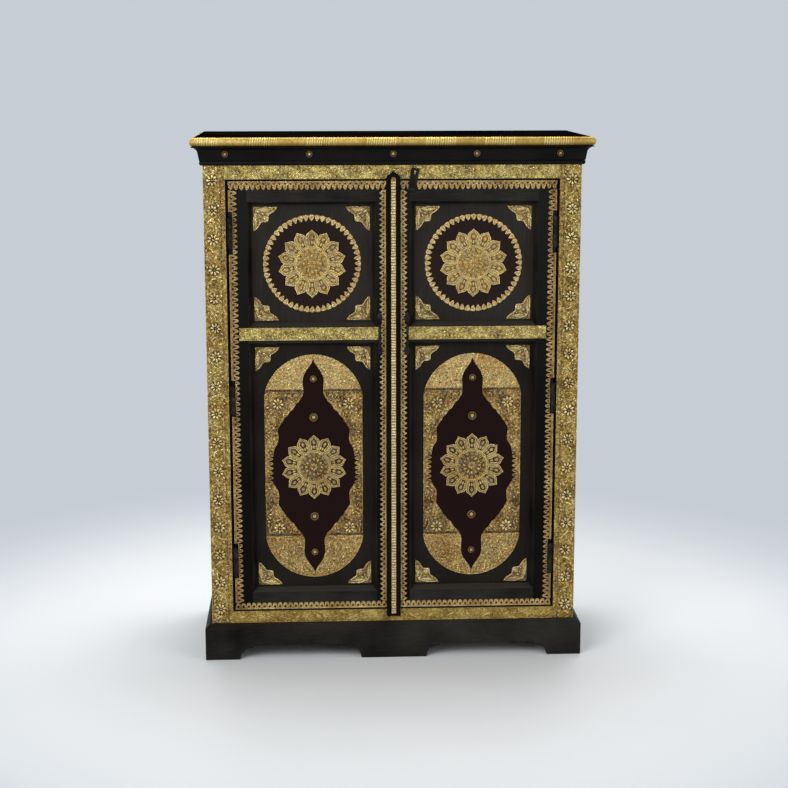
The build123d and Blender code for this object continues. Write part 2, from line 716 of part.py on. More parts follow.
def door(meeting_edge):
    """Every piece of a door, drawn on the cabinet's right-hand side."""
    rails = [door_rail(door_bottom, lower_opening[0]), door_rail(lower_opening[1], upper_opening[0]),
             door_rail(upper_opening[1], door_top)]
    hinge_stile = block(panel_outer, door_outer, face_y, door_back, door_bottom, door_top)
    meeting_stile = block(meeting_edge, meeting_reveal, face_y, door_back, door_bottom, door_top)
    for opening in (upper_opening, lower_opening):
        groove = panel_board(opening, tongue + groove_play)
        rails = [rail - groove for rail in rails]
        hinge_stile -= groove
        meeting_stile -= groove
    for rail in rails:
        hinge_stile -= rail
        meeting_stile -= rail
    upper_level, lower_level = sum(upper_opening) / 2, sum(lower_opening) / 2
    rail_sheet = block(handle_offset + handle_width / 2, door_outer - edging_width, face_y - sheet, face_y,
                       lower_opening[1] + middle_rail_bare, upper_opening[0])
    return {
        "hinge_stile": hinge_stile, "meeting_stile": meeting_stile, "rails": solids(*rails),
        "upper_panel": panel_board(upper_opening, tongue), "lower_panel": panel_board(lower_opening, tongue),
        "panel_mouldings": solids(*panel_mouldings(upper_opening), *panel_mouldings(lower_opening)),
        "edging_brass": solids(*edging(meeting_edge)), "middle_rail_brass": rail_sheet,
        "corner_brackets": solids(*brackets(upper_opening), *brackets(lower_opening)),
        "tooth_ring": tooth_ring(upper_level),
        "rosettes": solids(rosette(upper_level), rosette(lower_level)),
        "spandrels": solids(*spandrels(lower_level)), "panel_studs": solids(*panel_studs(lower_level)),
        "handle": handle(),
    }


def doors():
    left, right = door(left_meeting_edge), door(right_meeting_edge)
    nodes = {f"left_{key}": other_side(piece) for key, piece in left.items()}
    return nodes | {f"right_{key}": piece for key, piece in right.items()}


def batten():
    """Pointed cover strip on the right door's meeting stile, with its brass strip."""
    half = batten_width / 2
    top, bottom = door_top + batten_above, door_bottom - batten_below
    outline = [(-half, bottom), (half, bottom), (half, top - batten_point), (0, top),
               (-half, top - batten_point)]
    wood = polygon_plate(outline, face_y, batten_thickness)
    for z0, z1 in ((bottom, door_bottom), (door_top, top)):
        wood -= block(-half, half, face_y - batten_relief, face_y, z0, z1)
    strip_half = batten_strip_width / 2
    front = face_y - batten_thickness
    strip = block(-strip_half, strip_half, front - batten_strip_thickness, front,
                  bottom + batten_strip_end, top - batten_point)
    return {"centre_batten": wood, "batten_brass": strip}


# ---- hasp ----------------------------------------------------------------------------------------
def hasp_place(shape):
    """From the hasp's own frame, with its pin along X and its strap along Z, to the cabinet."""
    return Pos(hasp_offset, hasp_y, hasp_z) * Rot(0, hasp_lean, 0) * shape


def peg():
    """Plain peg in the body's top rail, which the hasp's slot drops over."""
    length = peg_depth + peg_reach
    middle = hasp_stand_off + peg_depth - length / 2
    return hasp_place(Pos(0, middle, peg_level) * Rot(90, 0, 0) * Cylinder(peg_radius, length))


def hasp_strap():
    half, neck = hasp_width / 2, hasp_knuckle_width / 2
    front, back = hasp_knuckle_radius - hasp_thickness, hasp_knuckle_radius
    shoulder = hasp_knuckle_radius + hasp_shoulder
    slot_top = peg_level + peg_radius + hasp_slot_play
    strap = block(-half, half, front, back, shoulder, hasp_length)
    strap += block(-neck, neck, front, back, 0, shoulder)
    strap += Rot(0, 90, 0) * Cylinder(hasp_knuckle_radius, hasp_knuckle_width)
    strap -= Rot(0, 90, 0) * Cylinder(hasp_pin_radius + pin_play, hasp_width)
    strap -= block(-hasp_slot_width / 2, hasp_slot_width / 2, front, back,
                   slot_top - hasp_slot_length, slot_top)
    return strap


def hasp_bracket():
    """Plate on the door with two ears and the hasp's pin."""
    inner, outer = hasp_knuckle_width / 2 + hasp_play, hasp_width / 2 - hasp_ear_inset
    back = hasp_stand_off - sheet
    front = back - hasp_plate_thickness
    below = -hasp_knuckle_radius - hasp_play
    bracket = block(-outer, outer, front, back, -hasp_plate_drop, below)
    ear = block(inner, outer, front, back, below, 0)
    ear += block(inner, outer, 0, back, -hasp_pin_radius, hasp_pin_radius)
    ear += Pos((inner + outer) / 2, 0, 0) * Rot(0, 90, 0) * Cylinder(hasp_knuckle_radius, outer - inner)
    return bracket + ear + other_side(ear) + Rot(0, 90, 0) * Cylinder(hasp_pin_radius, 2 * outer)


def hasp():
    return {"hasp_strap": hasp_place(hasp_strap()), "hasp_bracket": hasp_place(hasp_bracket()),
            "hasp_peg": peg()}


def main():
    nodes = carcass() | top_and_cornice() | plinth() | body_brass() | hinges() | doors() | batten() | hasp()
    os.makedirs("parts", exist_ok=True)
    for name, shape in nodes.items():
        export_step(shape, f"parts/{name}.step")


main()
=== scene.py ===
import bpy
import math
import random
from mathutils import Matrix, Vector


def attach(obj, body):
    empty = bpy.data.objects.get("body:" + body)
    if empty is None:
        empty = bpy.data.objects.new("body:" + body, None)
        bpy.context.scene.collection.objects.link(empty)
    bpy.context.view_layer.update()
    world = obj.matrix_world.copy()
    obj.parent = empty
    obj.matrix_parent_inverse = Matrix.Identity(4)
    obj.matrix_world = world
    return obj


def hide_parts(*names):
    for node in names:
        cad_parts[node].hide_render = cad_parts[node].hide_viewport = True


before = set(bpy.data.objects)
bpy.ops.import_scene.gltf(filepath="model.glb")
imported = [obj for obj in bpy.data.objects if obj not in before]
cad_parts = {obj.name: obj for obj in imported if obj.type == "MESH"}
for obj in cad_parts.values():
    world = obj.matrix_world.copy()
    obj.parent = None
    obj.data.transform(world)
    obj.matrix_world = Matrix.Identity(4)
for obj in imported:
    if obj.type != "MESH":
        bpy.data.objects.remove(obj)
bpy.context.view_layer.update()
print("frame loaded:", len(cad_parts), "nodes")

# the cabinet's main places, in millimetres as every shape below
mm = 0.001
faceY = -185  # front face of the body and the doors
panelY = -163  # front face of the door panels
panelX = 203  # middle of the door panels, to either side
ringLevel, medallionLevel = 1024.5, 501.5  # middles of the upper and the lower panels
bodyEdge, brassInner = 470, 416  # outer and inner edge of the brass on the body's stiles
brassBottom, brassTop = 94, 1271  # lowest and highest edge of the brass on the body


# selecting, copying and joining

def onlySelect(*pieces):
    bpy.ops.object.select_all(action="DESELECT")
    for piece in pieces:
        piece.select_set(True)
    bpy.context.view_layer.objects.active = pieces[0]


def startEdit(piece):
    onlySelect(piece)
    bpy.ops.object.mode_set(mode="EDIT")
    bpy.ops.mesh.select_all(action="SELECT")


def endEdit():
    bpy.ops.object.mode_set(mode="OBJECT")


def turnOutwards(piece):
    startEdit(piece)
    bpy.ops.mesh.normals_make_consistent(inside=False)
    endEdit()


def closeShell():
    # fills the open underside and turns every face outwards
    bpy.ops.mesh.select_all(action="DESELECT")
    bpy.ops.mesh.select_non_manifold()
    bpy.ops.mesh.edge_face_add()
    bpy.ops.mesh.select_all(action="SELECT")
    bpy.ops.mesh.normals_make_consistent(inside=False)
    bpy.ops.mesh.select_all(action="DESELECT")


def newShape(name, add, **settings):
    # one of Blender's own primitives, lamps or cameras, with nothing else selected
    bpy.ops.object.select_all(action="DESELECT")
    add(**settings)
    bpy.context.object.name = name
    return bpy.context.object


def copyShape(shape):
    copied = shape.copy()
    copied.data = shape.data.copy()
    bpy.context.collection.objects.link(copied)
    return copied


def stampCopies(shape, places):
    # places are (x, y, z, turn in degrees, size) with size one number or (x, y, z)
    copies = []
    for x, y, z, turn, size in places:
        copies.append(copyShape(shape))
        copies[-1].location = (x * mm, y * mm, z * mm)
        copies[-1].rotation_euler = (0, math.radians(turn), 0)
        copies[-1].scale = size if isinstance(size, tuple) else (size, size, size)
    return copies


def joinAll(name, pieces):
    # one mesh at the origin, with its faces turned outwards
    first = pieces[0]
    onlySelect(*pieces)
    bpy.ops.object.join()
    bpy.ops.object.transform_apply()
    first.name = first.data.name = name
    turnOutwards(first)
    return first


def mirrorCopy(name, piece):
    # the same piece on the cabinet's other side
    other = copyShape(piece)
    other.name = other.data.name = name
    other.scale = (-1, 1, 1)
    onlySelect(other)
    bpy.ops.object.transform_apply()
    turnOutwards(other)
    return other


def dropShapes(*shapes):
    for shape in shapes:
        bpy.data.objects.remove(shape)


# drawing shapes, in front view with x across and z upwards

def drawOutline(name, outline):
    # a flat face from points that run anticlockwise
    shape = newShape(name, bpy.ops.mesh.primitive_circle_add, vertices=len(outline), radius=mm,
                     fill_type="NGON")
    for vertex, (x, z) in zip(shape.data.vertices, outline):
        vertex.co = (x * mm, 0, z * mm)
    return shape


def emboss(name, outline, steps, peak=0.0):
    # a step is (inset, rise): with no inset it is a straight wall, else it draws in towards the middle
    shape = drawOutline(name, outline)
    across, along = [x for x, z in outline], [z for x, z in outline]
    middle = ((min(across) + max(across)) / 2 * mm, 0, (min(along) + max(along)) / 2 * mm)
    halfWidth, halfLength = (max(across) - min(across)) / 2, (max(along) - min(along)) / 2
    startEdit(shape)
    for inset, rise in steps:
        bpy.ops.mesh.extrude_region_move(TRANSFORM_OT_translate={"value": (0, -rise * mm, 0)})
        shrink = 1 - inset / halfWidth, 1, 1 - inset / halfLength
        bpy.ops.transform.resize(value=shrink, center_override=middle)
        halfWidth, halfLength = halfWidth - inset, halfLength - inset
    if peak:
        bpy.ops.mesh.poke(offset=peak * mm)
    closeShell()
    endEdit()
    return shape


def drawWire(name, points, width, height=None, closed=False, sides=1, steps=3):
    # a raised line along points, (x, z) or (x, y, z), round unless it has a height of its own
    wire = newShape(name, bpy.ops.curve.primitive_nurbs_path_add)
    wire.data.splines.clear()
    spline = wire.data.splines.new("NURBS")
    spline.points.add(len(points) - 1)
    for knot, point in zip(spline.points, points):
        x, y, z = point if len(point) == 3 else (point[0], 0, point[1])
        knot.co = (x * mm, y * mm, z * mm, 1)
    spline.order_u = 3
    spline.use_endpoint_u = not closed
    spline.use_cyclic_u = closed
    spline.resolution_u = steps
    wire.data.bevel_depth = width / 2 * mm
    wire.data.bevel_resolution = sides
    wire.data.use_fill_caps = True
    bpy.ops.object.convert(target="MESH")
    if height:
        bpy.context.object.scale = (1, 2 * height / width, 1)
        bpy.ops.object.transform_apply()
    return bpy.context.object


def cutShape(shape, outline, how):
    # keeps or removes what lies inside an outline, from 3 mm behind the shape's back to 17 mm before it
    cutter = drawOutline("cutter", outline)
    cutter.location = (0, 3 * mm, 0)
    startEdit(cutter)
    bpy.ops.mesh.extrude_region_move(TRANSFORM_OT_translate={"value": (0, -20 * mm, 0)})
    closeShell()
    endEdit()
    onlySelect(shape)
    trim = shape.modifiers.new("trim", "BOOLEAN")
    trim.operation = how
    trim.solver = "EXACT"
    trim.object = cutter
    bpy.ops.object.modifier_apply(modifier="trim")
    dropShapes(cutter)


def leafOutline(length, width, belly=1.0, bend=0.0, count=6, root=0.0):
    # a leaf from its root at (0, root) upwards; belly moves its widest place, bend bows it
    right, left = [], []
    for i in range(count + 1):
        t = i / count
        half = width / 2 * math.sin(math.pi * t ** belly) ** 0.8 if 0 < i < count else 0
        lean = bend * math.sin(math.pi * t)
        right.append((lean + half, root + length * t))
        left.append((lean - half, root + length * t))
    return right + left[-2:0:-1]


def roundOutline(radius, count=8):
    turns = [2 * math.pi * i / count for i in range(count)]
    return [(radius * math.cos(turn), radius * math.sin(turn)) for turn in turns]


def mirrored(points):
    # the points of the right side and their mirror image on the left
    return points + [(-x, z) for x, z in reversed(points) if x > 0]


def offsetOutline(outline, amount):
    # the same outline drawn inside itself
    inner = []
    for i, (x, z) in enumerate(outline):
        (x0, z0), (x1, z1) = outline[i - 1], outline[(i + 1) % len(outline)]
        before, after = math.hypot(x - x0, z - z0), math.hypot(x1 - x, z1 - z)
        nx = -(z - z0) / before - (z1 - z) / after
        nz = (x - x0) / before + (x1 - x) / after
        size = math.hypot(nx, nz)
        inner.append((x + nx / size * amount, z + nz / size * amount))
    return inner


def onCircle(radius, angle):
    return radius * math.sin(math.radians(angle)), radius * math.cos(math.radians(angle))


# marking and dressing

def markRelief(piece, base, top):
    # how far each point stands out between two levels, 0 to 1: the rubbed places of the brass
    heights = piece.data.attributes.new("relief", "FLOAT", "POINT")
    for vertex, height in zip(piece.data.vertices, heights.data):
        height.value = min(max((base * mm - vertex.co.y) / ((base - top) * mm), 0), 1)


def markPatina(piece, darkAt):
    # how dark the patina lies, fully in the hollows and less on the rubbed places
    depths = piece.data.attributes.new("patina", "FLOAT", "POINT")
    heights = piece.data.attributes["relief"].data
    for vertex, height, depth in zip(piece.data.vertices, heights, depths.data):
        depth.value = darkAt(vertex.co.x / mm, vertex.co.z / mm) * (1 - 0.7 * height.value)


def dress(piece, material, body, slotName, *nodes):
    # material, motion and the CAD nodes that the piece stands for
    piece.data.materials.append(material)
    onlySelect(piece)
    bpy.ops.object.shade_smooth_by_angle(angle=math.radians(50))
    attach(piece, body)
    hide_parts(*nodes)


def dressDoors(name, pieces, material, slotName, node, relief=None, darkAt=None):
    # joins the right door's pieces, mirrors them for the left door, and marks and dresses both
    right = joinAll("right_" + name, pieces)
    left = mirrorCopy("left_" + name, right)
    for piece, side in ((right, "right"), (left, "left")):
        if relief:
            markRelief(piece, *relief)
        if darkAt:
            markPatina(piece, darkAt)
        dress(piece, material, side + "_door", slotName, f"{side}_{node}")


# materials

def linearColour(text):
    parts = [int(text[i:i + 2], 16) / 255 for i in (1, 3, 5)]
    return tuple(c / 12.92 if c <= 0.04045 else ((c + 0.055) / 1.055) ** 2.4 for c in parts) + (1.0,)


def addNode(material, kind, inputs=None, stops=(), **settings):
    # one node with its settings, values and links; a node among the values links its first output
    node = material.node_tree.nodes.new("ShaderNode" + kind)
    for key, value in settings.items():
        setattr(node, key, value)
    for key, value in (inputs or {}).items():
        if isinstance(value, bpy.types.Node):
            value = next(output for output in value.outputs if output.enabled)
        if isinstance(value, bpy.types.NodeSocket):
            material.node_tree.links.new(value, node.inputs[key])
        else:
            node.inputs[key].default_value = linearColour(value) if isinstance(value, str) else value
    for i, (position, colour) in enumerate(stops):
        marks = node.color_ramp.elements
        mark = marks[i] if i < 2 else marks.new(position)
        mark.position, mark.color = position, linearColour(colour)
    return node


def newMaterial(name):
    material = bpy.data.materials.new(name)
    material.use_nodes = True
    material.node_tree.nodes.clear()
    return material


brassLook = {
    # tone of the bare ground, and what each layer adds to it
    "ground": 0.45, "reliefShare": 0.53, "speckShare": 1.35, "cloudShare": 0.4, "dotShare": 0.25,
    "patinaShare": 0.5, "speckScale": 165, "dotScale": 330, "bump": 0.9, "polish": 0.38,
    # from the deepest patina to the rubbed ridges
    "tones": ("#26180b", "#715825", "#ad914b", "#e8d89e"),
    "tarnish": 0.42, "tarnishColour": "#cd9c56", "grey": 0.22, "greyColour": "#8b8170",
}


def chasedBrass(name, **changes):
    # sheet brass beaten from the back and chased: pale gold where rubbed, brown and grey in the hollows; on
    # the nosing bead the rubbed tone also carries a painted highlight and painted shade
    look = brassLook | changes
    material = newMaterial(name)
    place = addNode(material, "TexCoord").outputs["Object"]
    relief = addNode(material, "Attribute", attribute_name="relief").outputs["Fac"]
    patina = addNode(material, "Attribute", attribute_name="patina").outputs["Fac"]
    # cloudy wear about 40 mm across, marks of the chasing tools about 6 mm, punched dots about 3 mm apart
    clouds = addNode(material, "TexNoise", {"Vector": place, "Scale": 26, "Detail": 4, "Roughness": 0.6})
    specks = addNode(material, "TexNoise", {"Vector": place, "Scale": look["speckScale"], "Detail": 3,
                                            "Roughness": 0.75})
    dots = addNode(material, "TexVoronoi", {"Vector": place, "Scale": look["dotScale"], "Randomness": 0.9})
    ground = look["ground"] - 0.5 * look["speckShare"] - 0.5 * look["cloudShare"] - 0.35 * look["dotShare"]
    wearAndPaintedLight = addNode(material, "Math", {0: relief, 1: look["reliefShare"], 2: ground}, operation="MULTIPLY_ADD")
    for layer, share in ((specks, look["speckShare"]), (clouds, look["cloudShare"]),
                         (dots, look["dotShare"]), (patina, -look["patinaShare"])):
        wearAndPaintedLight = addNode(material, "Math", {0: layer, 1: share, 2: wearAndPaintedLight}, operation="MULTIPLY_ADD")
    colour = addNode(material, "ValToRGB", {"Fac": wearAndPaintedLight}, zip((0.12, 0.36, 0.62, 0.95), look["tones"]))
    # orange tarnish in patches about 60 mm across, then grey oxide in patches about 15 mm
    for scale, start, end, share, tint, blend in (
            (16, 0.48, 0.7, look["tarnish"], look["tarnishColour"], "MULTIPLY"),
            (65, 0.47, 0.68, look["grey"], look["greyColour"], "MIX")):
        patches = addNode(material, "TexNoise", {"Vector": place, "Scale": scale, "Detail": 3})
        mask = addNode(material, "MapRange", {"Value": patches, "From Min": start, "From Max": end,
                                              "To Max": share})
        colour = addNode(material, "Mix", {"Factor": mask, "A": colour, "B": tint},
                         data_type="RGBA", blend_type=blend)
    metal = addNode(material, "MapRange", {"Value": wearAndPaintedLight, "From Min": 0.1, "From Max": 0.5, "To Min": 0.3})
    rough = addNode(material, "MapRange", {"Value": wearAndPaintedLight, "From Min": 0.1, "From Max": 0.9, "To Min": 0.65,
                                           "To Max": look["polish"]})
    height = addNode(material, "Math", {0: dots, 1: specks}, operation="ADD")
    bump = addNode(material, "Bump", {"Height": height, "Strength": look["bump"], "Distance": 0.0016})
    shader = addNode(material, "BsdfPrincipled", {"Base Color": colour, "Metallic": metal, "Roughness": rough,
                                                  "Normal": bump})
    addNode(material, "OutputMaterial", {"Surface": shader})
    return material


stileBrass = chasedBrass("chasedBrassStile")
railBrass = chasedBrass(
    "chasedBrassRail", tones=("#26180b", "#796831", "#b3a05b", "#e6d690"), tarnish=0.3, grey=0.35)
lowRailBrass = chasedBrass(
    "chasedBrassLowRail", tones=("#26180b", "#7a642c", "#a98f49", "#d4be7a"), tarnish=0.35, grey=0.15,
    ground=0.52, reliefShare=0.35, speckShare=1.1)
panelBrass = chasedBrass(
    "chasedBrassPanel", tones=("#24170d", "#73582b", "#b99a5b", "#e6d296"), tarnish=0.35, grey=0.3,
    ground=0.5)
cornerBrass = chasedBrass(
    "chasedBrassCorner", tones=("#24190f", "#76613a", "#b69d60", "#e6d49a"), tarnish=0.2, grey=0.2,
    ground=0.47, speckScale=210)
rosetteBrass = chasedBrass(
    "chasedBrassRosette", tones=("#33230f", "#7a6032", "#b69a58", "#e2cb8a"), tarnish=0.35, grey=0.4,
    ground=0.39, reliefShare=0.5, speckShare=1.25, dotShare=0.15, speckScale=200)
edgingBrass = chasedBrass(
    "stampedBrassEdging", tones=("#3a2411", "#7b5a33", "#ab8e5a", "#d3be86"), tarnish=0.3, grey=0.1,
    ground=0.37, reliefShare=0.56, speckShare=0.8, dotShare=0.1)
stripBrass = chasedBrass(
    "stampedBrassStrip", tones=("#3b2611", "#6d522b", "#97794a", "#dccb9b"), tarnish=0.35, grey=0.1,
    ground=0.0, reliefShare=0.95, speckShare=0.6, dotShare=0.1)
beadBrass = chasedBrass(
    "rubbedBrassBeadPaintedHighlight", tones=("#3a270d", "#80652a", "#b0954a", "#e6d690"), tarnish=0.3, grey=0.0,
    ground=0.22, reliefShare=0.8, speckShare=0.5, dotShare=0.05, bump=0.2, polish=0.55)
studBrass = chasedBrass(
    "rubbedBrassStud", tones=("#241a10", "#775f38", "#b59a60", "#ead8a2"), tarnish=0.0, grey=0.15,
    ground=0.34, reliefShare=0.7, speckShare=0.4, dotShare=0.05)

# the grain is squeezed along the two axes that the boards don't run along
uprightGrain, levelGrain, depthGrain = (40.0, 40.0, 3.0), (3.0, 40.0, 40.0), (40.0, 3.0, 40.0)
lacquerLook = {"dark": "#060504", "light": "#191613", "clouds": 1.0, "satin": 0.48, "gloss": 0.08,
               "pores": 0.35, "grain": uprightGrain}


def blackLacquer(name, **changes):
    # black varnish over open-grained hardwood: satin, with the pores and brush marks showing through
    look = lacquerLook | changes
    material = newMaterial(name)
    place = addNode(material, "TexCoord").outputs["Object"]
    # pores about 3 mm apart and 40 mm long, and cloudy shading about 140 mm across
    along = addNode(material, "Mapping", {"Vector": place, "Scale": look["grain"]})
    grain = addNode(material, "TexNoise", {"Vector": along, "Scale": 9, "Detail": 6, "Roughness": 0.65})
    clouds = addNode(material, "TexNoise", {"Vector": place, "Scale": 7, "Detail": 3})
    cloudy = addNode(material, "Math", {0: clouds, 1: look["clouds"], 2: 0.5 - 0.5 * look["clouds"]},
                     operation="MULTIPLY_ADD")
    shade = addNode(material, "Math", {0: grain, 1: 0.6, 2: cloudy}, operation="MULTIPLY_ADD")
    colour = addNode(material, "ValToRGB", {"Fac": shade}, ((0.55, look["dark"]), (1.0, look["light"])))
    tintsAndPaintedLight = []
    if "boardWidth" in look:
        # each board took the stain differently
        across = addNode(material, "SeparateXYZ", {"Vector": place}).outputs["X"]
        number = addNode(material, "Math", {0: across, 1: 1 / (look["boardWidth"] * mm), 2: 0.5},
                         operation="MULTIPLY_ADD")
        whole = addNode(material, "Math", {0: number}, operation="FLOOR")
        chance = addNode(material, "TexWhiteNoise", {"W": whole}, noise_dimensions="1D")
        tintsAndPaintedLight.append((addNode(material, "Math", {0: chance, 1: 0.45}, operation="MULTIPLY"), look["dark"]))
    if "zone" in look:
        # the stain inside the brass ring or medallion is deeper and redder, on the panel's front alone
        centreX, centreZ, radiusX, radiusZ, tint = look["zone"]
        offset = addNode(material, "Mapping", {
            "Vector": place, "Location": (-centreX / radiusX, 0, -centreZ / radiusZ),
            "Scale": (1 / (radiusX * mm), 0, 1 / (radiusZ * mm))})
        distance = addNode(material, "VectorMath", {0: offset}, operation="LENGTH")
        mask = addNode(material, "MapRange", {"Value": distance, "From Min": 0.97, "From Max": 1.03,
                                              "To Min": 1.0, "To Max": 0.0})
        depth = addNode(material, "SeparateXYZ", {"Vector": place}).outputs["Y"]
        front = addNode(material, "Math", {0: depth, 1: (panelY + 1) * mm}, operation="LESS_THAN")
        tintsAndPaintedLight.append((addNode(material, "Math", {0: mask, 1: front}, operation="MULTIPLY"), tint))
    if "faded" in look:
        # painted light: the doors are painted paler towards the top, as if lit from above
        level = addNode(material, "SeparateXYZ", {"Vector": place}).outputs["Z"]
        tintsAndPaintedLight.append((addNode(material, "MapRange", {"Value": level, "From Min": 0.55, "From Max": 1.15}),
                      look["faded"]))
    if "ledge" in look:
        # painted light: the slopes that face up are painted paler, as if lit from above
        normal = addNode(material, "TexCoord").outputs["Normal"]
        facing = addNode(material, "SeparateXYZ", {"Vector": normal}).outputs["Z"]
        tintsAndPaintedLight.append((addNode(material, "MapRange", {"Value": facing, "From Min": 0.1, "From Max": 0.6}),
                      look["ledge"]))
    for share, tint in tintsAndPaintedLight:
        colour = addNode(material, "Mix", {"Factor": share, "A": colour, "B": tint}, data_type="RGBA")
    rough = addNode(material, "MapRange", {"Value": shade, "From Min": 0.5, "From Max": 1.1,
                                           "To Min": look["satin"] - 0.07, "To Max": look["satin"] + 0.1})
    bump = addNode(material, "Bump", {"Height": grain, "Strength": look["pores"], "Distance": 0.0006})
    shader = addNode(material, "BsdfPrincipled", {"Base Color": colour, "Roughness": rough, "Normal": bump,
                                                  "IOR": 1.5, "Specular IOR Level": look["gloss"]})
    addNode(material, "OutputMaterial", {"Surface": shader})
    return material


# painted light and shade: the same black lacquer in lit and shaded copies; the uprights and the doors are
# painted darker and the level rails and the plinth paler, since the level parts catch more light from above,
# and the cornice is painted darker for the shade under the nosing
shadedUprightLook = {"dark": "#030302", "light": "#0f0d0b", "gloss": 0.06}
uprightLacquer = blackLacquer("blackLacquerUprightPaintedShade", **shadedUprightLook)
doorLacquer = blackLacquer("blackLacquerDoorPaintedLight", **shadedUprightLook, faded="#191817")
levelLacquer = blackLacquer("blackLacquerLevelPaintedLight", dark="#090807", light="#2d2a26", grain=levelGrain)
corniceLacquer = blackLacquer(
    "blackLacquerCornicePaintedShade", dark="#030202", light="#120f0d", gloss=0.1, grain=levelGrain)
deepLacquer = blackLacquer("blackLacquerSides", grain=depthGrain)
topLacquer = blackLacquer(
    "dullLacquerTop", dark="#030202", light="#0d0b09", satin=0.75, gloss=0.0, grain=levelGrain)
mouldingLacquer = blackLacquer(
    "blackLacquerMoulding", dark="#0c0a08", light="#25211d", ledge="#35312c", gloss=0.1)
thinStain = {"clouds": 0.35, "dark": "#2a1d14", "satin": 0.62, "gloss": 0.3, "pores": 0.6}
boardStain = blackLacquer("thinStainedBoard", **thinStain, light="#63483a", grain=levelGrain)
backStain = blackLacquer("thinStainedUpright", **thinStain, light="#5c4335", boardWidth=176.0)


def forgedIron(name, dark, light, polish):
    # blackened wrought iron: mottled by scale in flakes of about 5 mm, with paler rubs about 17 mm long
    material = newMaterial(name)
    place = addNode(material, "TexCoord").outputs["Object"]
    scale = addNode(material, "TexNoise", {"Vector": place, "Scale": 190, "Detail": 4})
    rubs = addNode(material, "TexNoise", {"Vector": place, "Scale": 60, "Detail": 2})
    tone = addNode(material, "ValToRGB", {"Fac": rubs}, ((0.35, dark), (0.7, light)))
    rough = addNode(material, "MapRange", {"Value": scale, "To Min": polish, "To Max": polish + 0.28})
    bump = addNode(material, "Bump", {"Height": scale, "Strength": 0.5, "Distance": 0.0006})
    shader = addNode(material, "BsdfPrincipled", {"Base Color": tone, "Metallic": 0.8, "Roughness": rough,
                                                  "Normal": bump})
    addNode(material, "OutputMaterial", {"Surface": shader})
    return material


ironFinish = forgedIron("forgedBlackIron", "#141212", "#34302d", 0.34)
haspIron = forgedIron("forgedHaspIron", "#131110", "#2a2724", 0.5)
# the peg's head is painted pale, for the bright spot at the top of the hasp's strap
pegIron = forgedIron("paleIronHead", "#8f8672", "#cfc6ac", 0.3)
print("materials made")


# the wood and the plain iron keep their own shapes and get rounded edges and finishes

def paintNode(name, material, rounding):
    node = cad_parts[name]
    node.data.materials.clear()
    node.data.materials.append(material)
    if rounding:
        weld = node.modifiers.new("weld", "WELD")
        weld.merge_threshold = 0.00002
        bevel = node.modifiers.new("rounded edges", "BEVEL")
        bevel.width = rounding * mm
        bevel.segments = 2
        bevel.limit_method = "ANGLE"
        bevel.angle_limit = math.radians(35)


for material, rounding, names in (
        (uprightLacquer, 0.8, "front_stile_left front_stile_right rear_stiles centre_batten"),
        (doorLacquer, 0.8, "left_hinge_stile right_hinge_stile left_meeting_stile right_meeting_stile"),
        (levelLacquer, 0.8, "front_top_rail front_bottom_rail left_rails right_rails door_stops"),
        (levelLacquer, 0.8, "plinth_front plinth_rear"),
        (deepLacquer, 0.8, "side_rails cornice_sides plinth_sides"),
        (corniceLacquer, 0.8, "cornice_front"),
        (topLacquer, 0.8, "top_board"),
        (mouldingLacquer, 0.4, "left_panel_mouldings right_panel_mouldings"),
        (uprightLacquer, 0, "side_panel_left side_panel_right"),
        (boardStain, 0.5, "floor_board shelves shelf_cleats"),
        (backStain, 1.2, "back_boards"),
        (ironFinish, 0.3, "hinge_body_leaves hinge_pins left_hinge_leaves right_hinge_leaves hasp_bracket"),
        (haspIron, 0.3, "hasp_strap"),
        (pegIron, 0.3, "hasp_peg")):
    for name in names.split():
        paintNode(name, material, rounding)
# a zone is its middle across and up, its half width and half height, and its colour
for side, x in (("left", -panelX), ("right", panelX)):
    paintNode(f"{side}_upper_panel", blackLacquer(
        f"panelStain_{side}_upper", dark="#1c1917", light="#312c28", clouds=0.6, gloss=0.06,
        zone=(x, ringLevel, 118, 118, "#241a17")), 0)
    paintNode(f"{side}_lower_panel", blackLacquer(
        f"panelStain_{side}_lower", dark="#14100e", light="#25201d", clouds=0.6, gloss=0.05,
        zone=(x, medallionLevel, 112, 285, "#1c0e0c")), 0)
print("wood and iron painted")


# floor, light and camera, in metres and degrees

stage = {
    "floor": "#e9ebee", "floorHaze": "#e4e8ea", "backdrop": "#c6cdd4", "fadeFrom": 0.62, "fadeTo": 1.9,
    "skyLight": 0.43,
    "lamps": {  # place, aim, size and power
        "key light": ((-2.4, -3.6, 3.0), (0, 0, 0.7), 2.4, 117),
        "fill light": ((3.2, -3.0, 1.6), (0, 0, 0.7), 2.6, 42),
        "top light": ((0.1, 0.9, 3.5), (0, -0.3, 0.4), 2.0, 90)},
    "cameraAt": (-0.204, -4.385, 1.506), "yaw": 2.8, "pitch": 10.93, "roll": 0.06, "lens": 77.1,
}


